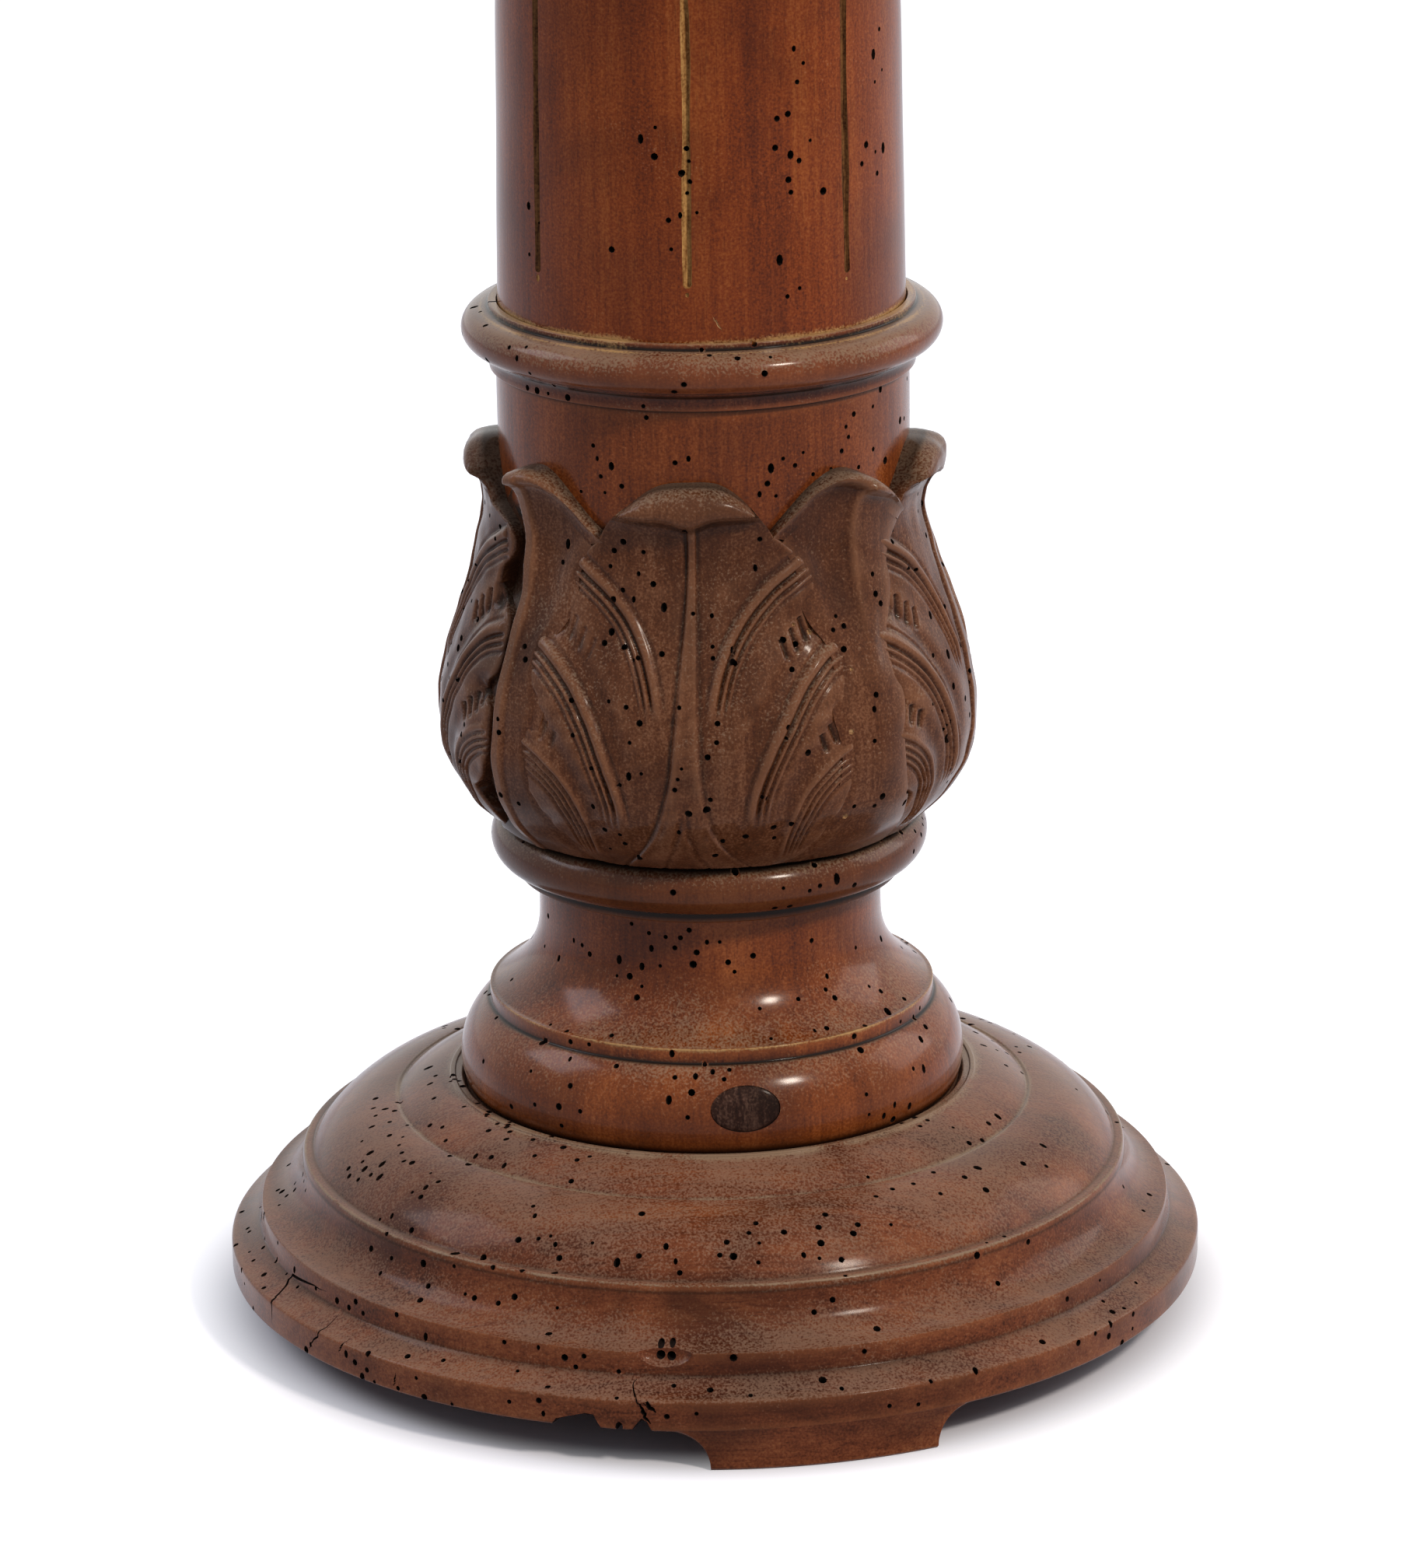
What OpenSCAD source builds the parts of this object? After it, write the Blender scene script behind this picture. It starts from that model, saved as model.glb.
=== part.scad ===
/* [Base plinth] */
// Radius of the round base at its rim
base_r = 150; // [144:1:170]
// Height of the three bracket feet
foot_h = 12.1; // [8:0.1:24]
// Half angle that one foot covers on the floor
foot_half_angle = 13.2; // [9:0.2:20]
// Depth of a foot from the rim inwards
foot_depth = 24; // [14:1:40]
// Angle of the middle of the first foot, from the front towards the right
foot_turn = 12.4; // [-30:0.2:30]
// Height of the upright face of the rim
rim_h = 9.6; // [6:0.1:14]
// Rise of the dished slope on top of the rim
rim_slope_h = 4.5; // [2:0.1:7]
// Width of the dished slope on top of the rim
rim_slope_w = 9; // [5:0.1:12]
// Height of the step behind the slope
step_h = 6.7; // [4:0.1:10]

/* [Base moulding] */
// Height of the cove
cove_h = 13.6; // [9:0.1:18]
// Width of the cove
cove_w = 13.8; // [10:0.1:17]
// Hollow of the cove at its middle
cove_hollow = 3.7; // [1:0.1:5]
// Height of the square fillet over the cove
cushion_fillet_h = 2.1; // [1:0.1:4]
// Width of the flat on that fillet
cushion_fillet_w = 3.4; // [1:0.1:5]
// Height of the big rounded cushion
cushion_h = 15.9; // [10:0.1:22]
// Swell of the cushion at its middle
cushion_swell = 3.6; // [1:0.1:5]
// Height of the upper slope, from the scribed groove to the seat lips
lip_slope_h = 7.4; // [4:0.1:10]
// Width of the upper slope
lip_slope_w = 17.7; // [10:0.1:20]
// Gap between the inner lip and the widest part of the torus
lip_gap = 2.2; // [1:0.1:5]
// Depth of the sunk seat under the lips
seat_depth = 2.6; // [1:0.1:5]

/* [Attic base] */
// Radius of the torus at its widest
torus_r = 77.2; // [74:0.1:80]
// Radius of the torus where it meets its seat and its fillet
torus_foot_r = 69.2; // [66:0.1:71]
// Height of the torus
torus_h = 26.6; // [22:0.1:30]
// Height of the fillet band on the torus
band_h = 4.9; // [2:0.1:8]
// Radius of the fillet band
band_r = 68.1; // [64:0.1:72]
// Height of the hollow between the band and the neck
scotia_h = 25; // [15:0.5:32]
// Radius of the plain neck
neck_r = 52.2; // [46:0.1:56]
// Height of the plain upright part of the neck
neck_h = 11.5; // [6:0.5:20]
// Sharpness of the hollow, where a higher number turns tighter
scotia_power = 2.6; // [1.8:0.1:3.2]

/* [Oval patch] */
// Length of the let-in patch along the torus
patch_w = 21; // [14:0.5:26]
// Height of the let-in patch
patch_h = 13.4; // [8:0.2:16]
// Depth of the patch behind the widest part of the torus
patch_depth = 9; // [5:0.5:14]
// Angle of the patch, from the front towards the right
patch_turn = 7.3; // [-40:0.1:40]
// Height of the middle of the patch over the foot of the torus
patch_rise = 15.1; // [11:0.1:17]

/* [Lower collar] */
// Radius of the fillet under the lower collar
collar_fillet_r = 58.2; // [56:0.1:60]
// Height of that fillet
collar_fillet_h = 3.2; // [2:0.1:5]
// Radius of the lower collar at its widest
astragal_r = 66.6; // [64:0.1:70]
// Height of the rounded part of the lower collar
astragal_h = 16; // [10:0.1:18]
// Radius at which the rounded part starts and ends
astragal_edge_r = 60.6; // [59:0.1:62]

/* [Carved bulb] */
// Radius of the foot of the bulb
bulb_foot_r = 64.6; // [62:0.1:66]
// Height of the widest part over the foot
belly_rise = 32.6; // [26:0.2:40]
// Radius of the bulb at its widest
belly_r = 80.9; // [76:0.1:86]
// Height of the narrow waist over the foot
waist_rise = 95.8; // [88:0.2:100]
// Radius of the leaves at the waist
waist_r = 66.6; // [65:0.1:70]
// Height of the leaf tops over the foot
leaf_rise = 118; // [112:0.2:122]
// Height of the upper notch in the edge of a carved leaf
notch_high = 72; // [64:0.5:78]
// Height of the lower notch in the edge of a carved leaf
notch_low = 49; // [42:0.5:56]
// Half the width of a carved leaf at its lower lobe, in degrees of a 45 degree spacing
lobe_half = 39.4; // [36:0.2:41]
// Distance from the waist radius out to the curled lip
lip_flare = 6.3; // [3:0.1:9]
// Height of the roll of the lip
lip_roll_h = 7; // [4:0.1:9]
// Distance over which the lip curls out
lip_curl_h = 16; // [12:0.5:20]
// Number of carved leaves, with a plain keeled leaf between each two
leaf_pairs = 4; // [3:1:6]
// Angle of the first carved leaf, from the front towards the right
leaf_turn = -5; // [-45:0.5:45]
// Height of the keel over the carved leaves
keel_h = 1.6; // [0:0.1:3]
// Depth of the valleys beside a plain leaf
valley_d = 4.4; // [2:0.1:7]
// Extra depth of the pockets near the foot of a plain leaf
pocket_d = 3.5; // [0:0.1:5]
// Depth of the channel along the middle of a carved leaf
midrib_d = 1.2; // [0.4:0.1:3]
// Radius of the plain drum over the leaves
drum_r = 61.8; // [60:0.1:64]
// Height of the whole bulb block with its drum
bulb_h = 139.2; // [130:0.2:150]

/* [Shaft collar] */
// Radius of the fillet under the shaft collar
sc_fillet_r = 63.8; // [62.5:0.1:66]
// Height of that fillet
sc_fillet_h = 1.8; // [1:0.1:4]
// Height of the small ogee under the roll
sc_ogee_h = 4; // [2:0.1:6]
// Radius at which the roll starts and ends
sc_edge_r = 66.2; // [64:0.1:68]
// Radius of the roll at its widest
sc_roll_r = 72; // [69:0.1:76]
// Height of the roll
sc_roll_h = 12; // [9:0.1:16]
// Height of the fillet on top of the roll
sc_top_h = 2.1; // [1:0.1:4]
// Radius of the fillet on top of the roll
sc_top_r = 63.9; // [62.6:0.1:65]
// Depth of the recess that the shaft stands in
sc_recess = 3; // [1:0.1:5]

/* [Shaft] */
// Length of the shaft
shaft_len = 650; // [300:5:900]
// Radius of the shaft at its foot
shaft_r = 61.1; // [58:0.1:61.6]
// Radius of the shaft at its top
shaft_top_r = 50.6; // [48:0.1:56]
// Number of incised grooves
groove_n = 8; // [5:1:12]
// Width of a groove
groove_w = 2.4; // [1:0.1:4]
// Depth of a groove
groove_d = 1.8; // [0.8:0.1:3]
// Distance of the round stop of a groove from the foot of the shaft
groove_foot = 19; // [12:0.5:60]
// Distance of the upper stop of a groove from the top of the shaft
groove_top = 17; // [12:0.5:60]
// Angle of the front groove, from the front towards the right
groove_turn = -4; // [-40:0.5:40]
// Angle between the front groove and the groove on each side of it
groove_front_step = 48.2; // [30:0.1:58]

/* [Capital] */
// Radius of the roll on the capital collar
cc_roll_r = 62; // [59:0.1:66]
// Height of the roll on the capital collar
cc_roll_h = 12; // [9:0.1:16]
// Height of each fillet on the capital collar
cc_fillet_h = 3; // [2:0.1:5]
// Projection of those fillets from the shaft
cc_fillet_w = 3.4; // [2:0.1:6]
// Depth of the recess that the top of the shaft enters
cc_recess = 3; // [1:0.1:5]
// Radius of the neck of the capital
cap_neck_r = 49.5; // [44:0.1:54]
// Height of the neck of the capital
cap_neck_h = 30; // [15:0.5:45]
// Height of the fillet over the neck
cap_ring_h = 4; // [2:0.1:7]
// Projection of the fillet over the neck
cap_ring_w = 5; // [2:0.1:8]
// Height of the swelling echinus
echinus_h = 34; // [25:0.5:50]
// Radius of the echinus at its widest
echinus_r = 88; // [78:0.5:89]
// Height of the hollow between the echinus and the flange
cap_cove_h = 12; // [8:0.5:18]
// Width of that hollow
cap_cove_w = 10; // [6:0.5:14]
// Width of the flat soffit under the flange, which the top screws go through
soffit_w = 14; // [11:0.5:18]
// Height of the flange under the top
flange_h = 16; // [12:0.5:22]
// Radius of the flange under the top
flange_r = 104; // [102:0.5:112]

/* [Top] */
// Radius of the round top
top_r = 130; // [118:1:150]
// Thickness of the round top
top_h = 27; // [20:0.5:36]
// Height of the square edge of the top
top_edge_h = 11; // [6:0.5:14]
// Width of the ogee under the edge
top_ogee_w = 14; // [8:0.5:18]

/* [Joinery] */
// Radius of the turned tenon of the attic base
tenon_r = 25; // [18:0.5:32]
// Distance of the tenon's end above the underside of the plinth
tenon_set_back = 1; // [0.5:0.1:4]
// Thickness of the tenon wedge at its wide end
wedge_w = 6; // [4:0.2:9]
// Thickness of the tenon wedge at its thin end
wedge_tip_w = 2; // [1:0.2:3]
// Length of the tenon wedge
wedge_len = 30; // [18:1:34]
// Radius of the loose dowels
dowel_r = 17.5; // [12:0.5:24]
// Depth of a dowel in each long piece
dowel_in = 44; // [24:1:60]
// Depth of the lower dowel in the neck
neck_dowel_in = 26; // [16:1:34]
// Clearance round each dowel and tenon
fit_gap = 0.15; // [0.05:0.05:0.5]
// Clearance at the end of each dowel
end_gap = 0.8; // [0.3:0.1:2]
// Radius of the shank of a wood screw
screw_r = 2.4; // [1.6:0.1:3.2]
// Radius of the head of a wood screw
screw_head_r = 4.8; // [4:0.1:6]
// Length of a base screw
base_screw_len = 34; // [27:1:38]
// Length of a top screw
top_screw_len = 30; // [24:1:36]
// Number of base screws
base_screw_n = 6; // [3:1:8]
// Number of top screws
top_screw_n = 4; // [3:1:8]
// Radius of the circle of base screws
base_screw_circle = 92; // [70:1:104]
// Angle of the first top screw, from the front towards the right
top_screw_turn = 45; // [0:1:90]

/* [Hidden] */
$fn = 96;
eps = 0.01;
n_curve = 9;

// Heights of the joints, from the floor up
z_rim = foot_h;
z_slope = z_rim + rim_h;
z_step = z_slope + rim_slope_h;
z_plinth = z_step + step_h;
z_cove = z_plinth + cove_h;
z_cushion = z_cove + cushion_fillet_h;
z_groove = z_cushion + cushion_h;
z_lips = z_groove + lip_slope_h;
z_seat = z_lips - seat_depth;
z_band = z_seat + torus_h;
z_scotia = z_band + band_h;
z_neck = z_scotia + scotia_h;
z_collar = z_neck + neck_h;
z_astragal = z_collar + collar_fillet_h;
z_bulb = z_astragal + astragal_h;
z_sc = z_bulb + bulb_h;
z_sc_ogee = z_sc + sc_fillet_h;
z_sc_roll = z_sc_ogee + sc_ogee_h;
z_sc_top = z_sc_roll + sc_roll_h;
z_sc_end = z_sc_top + sc_top_h;
z_shaft = z_sc_end - sc_recess;
z_shaft_top = z_shaft + shaft_len;
z_cc = z_shaft_top - cc_recess;
cc_h = 2 * cc_fillet_h + cc_roll_h;
z_cap = z_cc + cc_h;
z_cap_ring = z_cap + cap_neck_h;
z_echinus = z_cap_ring + cap_ring_h;
z_cap_cove = z_echinus + echinus_h;
z_flange = z_cap_cove + cap_cove_h;
z_top = z_flange + flange_h;
z_end = z_top + top_h;

// Radii that follow from the sizes above
r_step = base_r - rim_slope_w;
r_cove_top = r_step - cove_w;
r_cushion = r_cove_top - cushion_fillet_w;
r_lip = torus_r + lip_gap;
r_groove = r_lip + lip_slope_w;
lip_flat = 1.6;
lip_step = 1.2;
groove_cut = 0.7;
r_seat = torus_foot_r + fit_gap;
step_draft = 0.8;
rim_chamfer = 0.6;
edge = 0.4;
slope_dish = 0.5;
slope_swell = 1.1;
ogee_dish = 0.7;
cap_apophyge_h = 3;
cap_apophyge_dish = 1.2;
cap_cove_dish = 3;
top_ogee_swell = 2.6;
top_lead_in = 2;
scotia_step = 1.4;
groove_reach = 5;
screw_tip_r = 0.4;
shaft_fit = 0.3;
screw_bore = screw_r + 0.1;
head_bore = screw_head_r + 0.1;
head_h = screw_head_r - screw_r;
slot_w = 1.2;
slot_d = 1.3;
flank_skin = 0.3;

// Points on a round arc from p to q that bulges by s, outwards where s is positive
function arc(p, q, s, n = n_curve) =
    let (d = q - p, len = norm(d), side = [d[1], -d[0]] / len,
         rad = (len * len / 4 + s * s) / (2 * abs(s)), up = sign(s))
    [for (i = [0:n]) let (t = i / n, along = len * (t - 0.5))
        p + d * t + side * up * (sqrt(rad * rad - along * along) - rad + abs(s))];

// Turns an outline of [radius, height] points into a solid
module turn(points) {
    rotate_extrude($fn = 180) polygon(points);
}

// Places children at an angle from the front, towards the right
module at_angle(a) {
    rotate([0, 0, a]) children();
}

// One countersunk wood screw that points up, with its head at the origin
module wood_screw(len) {
    difference() {
        union() {
            cylinder(r1 = screw_head_r, r2 = screw_r, h = head_h);
            translate([0, 0, head_h - eps]) cylinder(r = screw_r, h = len - head_h - screw_r + eps);
            translate([0, 0, len - screw_r - eps])
                cylinder(r1 = screw_r, r2 = screw_tip_r, h = screw_r + eps);
        }
        translate([-screw_head_r - 1, -slot_w / 2, -1]) cube([2 * screw_head_r + 2, slot_w, slot_d + 1]);
    }
}

// The hole that such a screw sits in, a little longer than the screw
module screw_hole(len) {
    translate([0, 0, -eps]) cylinder(r1 = head_bore + eps, r2 = screw_bore, h = head_h + 0.1);
    cylinder(r = screw_bore, h = len + end_gap);
}

module base_screw_places() {
    for (i = [0:base_screw_n - 1])
        at_angle(foot_turn + 180 / base_screw_n + i * 360 / base_screw_n)
            translate([0, -base_screw_circle, z_rim]) children();
}

module top_screw_places() {
    for (i = [0:top_screw_n - 1])
        at_angle(top_screw_turn + i * 360 / top_screw_n)
            translate([0, -(flange_r - soffit_w / 2), z_flange]) children();
}

// The lower board: rim, dished slope and step, with three bracket feet left at its rim
module base_plinth() {
    color("#6b3a25")
    difference() {
        union() {
            turn(concat(
                [[tenon_r + fit_gap, z_rim], [base_r - rim_chamfer, z_rim], [base_r, z_rim + rim_chamfer],
                 [base_r, z_slope - rim_chamfer]],
                arc([base_r - rim_chamfer, z_slope], [r_step, z_step], -slope_dish, 5),
                [[r_step - step_draft, z_plinth], [tenon_r + fit_gap, z_plinth]]));
            for (i = [0:2]) at_angle(foot_turn + 120 * i)
                foot_block();
        }
        base_screw_places() screw_hole(base_screw_len);
    }
}

// One bracket foot under the rim, with a quarter-round hollow at each flank
module foot_block() {
    floor_x = base_r * sin(foot_half_angle);
    end_x = floor_x + foot_h;
    difference() {
        intersection() {
            rotate_extrude($fn = 180)
                polygon([[base_r - foot_depth, 0], [base_r - rim_chamfer, 0], [base_r, rim_chamfer],
                         [base_r, z_rim + 1], [base_r - foot_depth, z_rim + 1]]);
            translate([-end_x, -base_r - 1, 0]) cube([2 * end_x, base_r, z_rim + 1]);
        }
        for (side = [-1, 1])
            translate([side * end_x, 0, 0]) rotate([90, 0, 0])
                cylinder(r = foot_h - flank_skin, h = base_r + 2);
    }
}

// The upper board of the base: cove, fillet, cushion, scribed groove, slope and two seat lips
module base_moulding() {
    outline = concat(
        [[tenon_r + fit_gap, z_plinth]],
        arc([r_step - step_draft, z_plinth], [r_cove_top, z_cove], -cove_hollow),
        [[r_cove_top - edge, z_cushion - edge], [r_cove_top - 2 * edge, z_cushion]],
        arc([r_cushion, z_cushion + edge / 2], [r_groove + groove_cut, z_groove], cushion_swell, 12),
        arc([r_groove, z_groove - edge], [r_lip + lip_flat, z_lips - lip_step / 2], slope_swell, 6),
        [[r_lip + lip_flat, z_lips], [r_lip, z_lips], [r_lip, z_lips - lip_step],
         [r_lip - lip_flat, z_lips - lip_step], [r_lip - 2 * lip_flat, z_seat],
         [tenon_r + fit_gap, z_seat]]);
    color("#7c452a")
    difference() {
        turn(outline);
        base_screw_places() screw_hole(base_screw_len);
    }
}

// Countersunk screws that draw the two boards of the base together
module base_screws() {
    color("#8a8578") base_screw_places() wood_screw(base_screw_len);
}

// Outline of the attic base without its tenon
function attic_outline() = concat(
    [[0, z_seat]],
    arc([torus_foot_r, z_seat], [torus_foot_r, z_band], torus_r - torus_foot_r, 16),
    [[band_r, z_band + edge], [band_r, z_scotia - edge], [band_r - edge, z_scotia]],
    [for (i = [0:12]) let (t = i / 12)
        [neck_r + (band_r - scotia_step - neck_r) * pow(1 - t, scotia_power), z_scotia + scotia_h * t]],
    [[neck_r, z_collar], [0, z_collar]]);

// Oval prism that cuts the place of the patch and shapes the patch itself
module patch_prism() {
    at_angle(patch_turn)
        translate([0, -(torus_r - patch_depth), z_seat + patch_rise])
            rotate([90, 0, 0])
                linear_extrude(height = patch_depth + 5)
                    polygon([for (i = [0:35]) let (a = i * 10)
                        [patch_w / 2 * cos(a), patch_h / 2 * sin(a)]]);
}

// Tapered prism that splits the end of the tenon
module wedge_prism() {
    translate([0, tenon_r, z_rim + tenon_set_back])
        rotate([90, 0, 0])
            linear_extrude(height = 2 * tenon_r)
                polygon([[-wedge_w / 2, 0], [wedge_w / 2, 0], [wedge_tip_w / 2, wedge_len],
                         [-wedge_tip_w / 2, wedge_len]]);
}

// Torus, band, hollow and neck turned from one block, with a round tenon below
module attic_base() {
    color("#8a4a28")
    difference() {
        union() {
            turn(attic_outline());
            translate([0, 0, z_rim + tenon_set_back])
                cylinder(r = tenon_r, h = z_seat - z_rim - tenon_set_back + 1);
        }
        patch_prism();
        wedge_prism();
        translate([0, 0, z_collar - neck_dowel_in - end_gap])
            cylinder(r = dowel_r + fit_gap, h = neck_dowel_in + end_gap + 1);
    }
}

// Wedge driven up into the end of the tenon
module tenon_wedge() {
    color("#a98a5a")
    intersection() {
        wedge_prism();
        translate([0, 0, z_rim]) cylinder(r = tenon_r, h = wedge_len + tenon_set_back + 1);
    }
}

// Dark oval patch let into the front of the torus
module oval_patch() {
    color("#2e1a14")
    intersection() {
        turn(attic_outline());
        patch_prism();
    }
}

// Turned ring between the neck and the bulb
module lower_collar() {
    color("#7c4128")
    difference() {
        turn(concat(
            [[0, z_collar], [collar_fillet_r, z_collar], [collar_fillet_r + edge, z_collar + edge],
             [collar_fillet_r + edge, z_astragal]],
            arc([astragal_edge_r, z_astragal + edge / 2], [astragal_edge_r, z_bulb - edge / 2],
                astragal_r - astragal_edge_r, 12),
            [[astragal_edge_r - edge, z_bulb], [0, z_bulb]]));
        translate([0, 0, z_collar - 1]) cylinder(r = dowel_r + fit_gap, h = z_bulb - z_collar + 2);
    }
}

// Loose dowel through the lower collar
module neck_dowel() {
    color("#b08d5f")
    translate([0, 0, z_collar - neck_dowel_in])
        cylinder(r = dowel_r, h = neck_dowel_in + z_bulb - z_collar + dowel_in);
}

// The leaves are worked out over one half of a pair: from the middle of a carved leaf, at 0,
// to the keel of the plain leaf beside it, at half_pair degrees
half_pair = 180 / leaf_pairs;
leaf_scale = half_pair / 45;
edge_gap = 0.7 * leaf_scale;
belly_power = 0.75;
leaf_fall = 16;
tip_drop = 1;
lip_fade = 0.6;

function smooth(t) = let (c = max(0, min(1, t))) (1 - cos(180 * c)) / 2;
function mix(a, b, t) = a + (b - a) * t;

// Radius of the leaves' common body at height h over the foot
function body_r(h) =
    h < belly_rise
        ? bulb_foot_r + (belly_r - bulb_foot_r) * pow(1 - pow(1 - h / belly_rise, 2), belly_power)
    : mix(belly_r, waist_r, smooth((h - belly_rise) / (waist_rise - belly_rise)));

// Height of the top edge of the leaves at an angle from the middle of the carved leaf
function top_edge(a) = let (q = half_pair / 2, d = a < q ? a / q : (half_pair - a) / q)
    a < q ? leaf_rise - tip_drop - (leaf_fall - tip_drop) * pow(d, 2) : leaf_rise - leaf_fall * pow(d, 6);

// Half the width of a carved leaf, in degrees, with a notch between each two lobes
leaf_join = leaf_rise - leaf_fall;
leaf_root = 22;
join_half = 22.5;
upper_half = 33.5;
shoulder_power = 0.7;
root_half = 26;
lobe_taper = 2.4;
notch_span = 3;
notch_high_cut = 3.4;
notch_low_cut = 2.6;
function dip(h, at) = max(0, 1 - abs(h - at) / notch_span);
function leaf_half(h) = leaf_scale * (
    h >= leaf_join ? join_half
    : h >= notch_high
        ? mix(join_half, upper_half, pow((leaf_join - h) / (leaf_join - notch_high), shoulder_power))
    : h >= leaf_root ? lobe_half - lobe_taper * (h - leaf_root) / (notch_high - leaf_root)
        - notch_high_cut * dip(h, notch_high) - notch_low_cut * dip(h, notch_low)
    : mix(root_half, lobe_half, smooth(h / leaf_root)));

// How far the lip stands out at distance e below the top edge
function lip_out(e) =
    e < 0 ? 0
    : e < lip_roll_h ? sqrt(max(0, 1 - pow(1 - e / lip_roll_h, 2)))
    : 1 - smooth((e - lip_roll_h) / lip_curl_h);

// Radius of the carving: a carved leaf up to its edge, then the valley and the keel
rib_half = 1.2;
rib_spread = 17;
rib_root_h = 60;
rib_end = 4;
foot_fade_h = 10;
pocket_h = 14;
keel_hollow = 0.8;
function carving_r(a, h) =
    let (q = half_pair / 2,
         w = leaf_half(h),
         side = a < q ? a / q : (half_pair - a) / q,
         lip = lip_flare * (1 - lip_fade * side * side) * lip_out(top_edge(a) - h),
         body = body_r(h) + lip,
         rib = (rib_half + rib_spread * pow(1 - min(1, h / rib_root_h), 3)) * leaf_scale,
         channel = h < leaf_join + rib_end ? midrib_d * smooth(1 - (a - rib) / leaf_scale) : 0,
         fade = min(1, h / foot_fade_h),
         depth = (valley_d + pocket_d * exp(-pow((h - pocket_h) / foot_fade_h, 2))) * fade,
         keel = keel_h * fade,
         t = (half_pair - a) / max(1, half_pair - w))
    a <= w ? body - channel
    : body + keel - (keel + depth) * pow(max(0, min(1, t)), keel_hollow);

// Angles of the grid columns over one half pair: close together at the leaf's edge
leaf_cols = [0, 0.08, 0.2, 0.35, 0.5, 0.65, 0.8, 0.92, 1];
keel_cols = [0, 0.25, 0.5, 0.75, 0.92];
half_cols = len(leaf_cols) + len(keel_cols);
function half_angle(c, h) = let (w = leaf_half(h))
    c < len(leaf_cols) ? leaf_cols[c] * w
    : mix(w + edge_gap, half_pair, keel_cols[c - len(leaf_cols)]);

// Heights of the grid rows: even up to the waist, then spread up to the top edge of the leaf
rows_low = 26;
rows_high = 12;
split_rise = 12;
h_split = notch_high + split_rise;
mesh_sink = 1.5;
function row_height(r, a) =
    r <= rows_low ? h_split * r / rows_low
    : r <= rows_low + rows_high
        ? mix(h_split, top_edge(a), sin(90 * (r - rows_low) / rows_high))
    : top_edge(a) + edge;
grid_rows = rows_low + rows_high + 2;

// One column of a half pair, mirrored where side is -1, turned by the place of its leaf
function grid_point(r, c, side, turn_by) =
    let (h_level = r <= rows_low ? h_split * r / rows_low
             : mix(h_split, leaf_join + rib_end, (r - rows_low) / rows_high),
         a = half_angle(c, h_level),
         h = row_height(r, a),
         rad = r == grid_rows - 1 ? drum_r - mesh_sink : carving_r(a, h),
         b = turn_by + side * a)
    [rad * sin(b), -rad * cos(b), z_bulb + h];

// All columns round the bulb, in order of angle
columns = [for (k = [0:leaf_pairs - 1]) each concat(
    [for (c = [half_cols - 1:-1:1]) [c, -1, leaf_turn + k * 2 * half_pair]],
    [for (c = [0:half_cols - 1]) [c, 1, leaf_turn + k * 2 * half_pair]],
    [[-1, 1, leaf_turn + k * 2 * half_pair]])];
ring_n = len(columns);

// A column on the keel itself closes each pair
function column_point(r, col) =
    col[0] >= 0 ? grid_point(r, col[0], col[1], col[2])
    : let (h = row_height(r, half_pair),
           rad = r == grid_rows - 1 ? drum_r - mesh_sink : carving_r(half_pair, h),
           b = col[2] + half_pair)
      [rad * sin(b), -rad * cos(b), z_bulb + h];

module leaf_mesh() {
    top_z = z_bulb + leaf_rise + 1;
    points = concat(
        [for (r = [0:grid_rows - 1]) each [for (col = columns) column_point(r, col)]],
        [for (col = columns) let (p = column_point(grid_rows - 1, col)) [p[0], p[1], top_z]],
        [[0, 0, z_bulb], [0, 0, top_z]]);
    last = grid_rows;
    foot_pole = (grid_rows + 1) * ring_n;
    top_pole = foot_pole + 1;
    faces = concat(
        [for (r = [0:last - 1]) each [for (i = [0:ring_n - 1]) let (j = (i + 1) % ring_n)
            each [[r * ring_n + i, (r + 1) * ring_n + i, (r + 1) * ring_n + j],
                  [r * ring_n + i, (r + 1) * ring_n + j, r * ring_n + j]]]],
        [for (i = [0:ring_n - 1]) [foot_pole, i, (i + 1) % ring_n]],
        [for (i = [0:ring_n - 1]) [top_pole, last * ring_n + (i + 1) % ring_n, last * ring_n + i]]);
    polyhedron(points = points, faces = faces, convexity = 8);
}

// The carved block: eight leaves in front of a plain drum
module carved_bulb() {
    color("#6a4030")
    difference() {
        union() {
            leaf_mesh();
            translate([0, 0, z_bulb + notch_high]) cylinder(r = drum_r, h = bulb_h - notch_high, $fn = 180);
        }
        translate([0, 0, z_bulb - 1]) cylinder(r = dowel_r + fit_gap, h = dowel_in + end_gap + 1);
        translate([0, 0, z_sc - dowel_in - end_gap])
            cylinder(r = dowel_r + fit_gap, h = dowel_in + end_gap + 1);
    }
}

// Turned ring that the shaft stands in: fillet, ogee, roll and top fillet round a shallow recess
module shaft_collar() {
    recess_r = shaft_r + shaft_fit;
    color("#7c4128")
    difference() {
        turn(concat(
            [[0, z_sc], [sc_fillet_r, z_sc], [sc_fillet_r, z_sc_ogee]],
            arc([sc_fillet_r, z_sc_ogee], [sc_edge_r, z_sc_roll - edge], -ogee_dish, 5),
            arc([sc_edge_r, z_sc_roll], [sc_edge_r, z_sc_top], sc_roll_r - sc_edge_r, 14),
            [[sc_top_r, z_sc_top + edge], [sc_top_r, z_sc_end], [recess_r, z_sc_end],
             [recess_r, z_shaft], [0, z_shaft]]));
        translate([0, 0, z_sc - 1]) cylinder(r = dowel_r + fit_gap, h = z_sc_end - z_sc + 2);
    }
}

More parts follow.
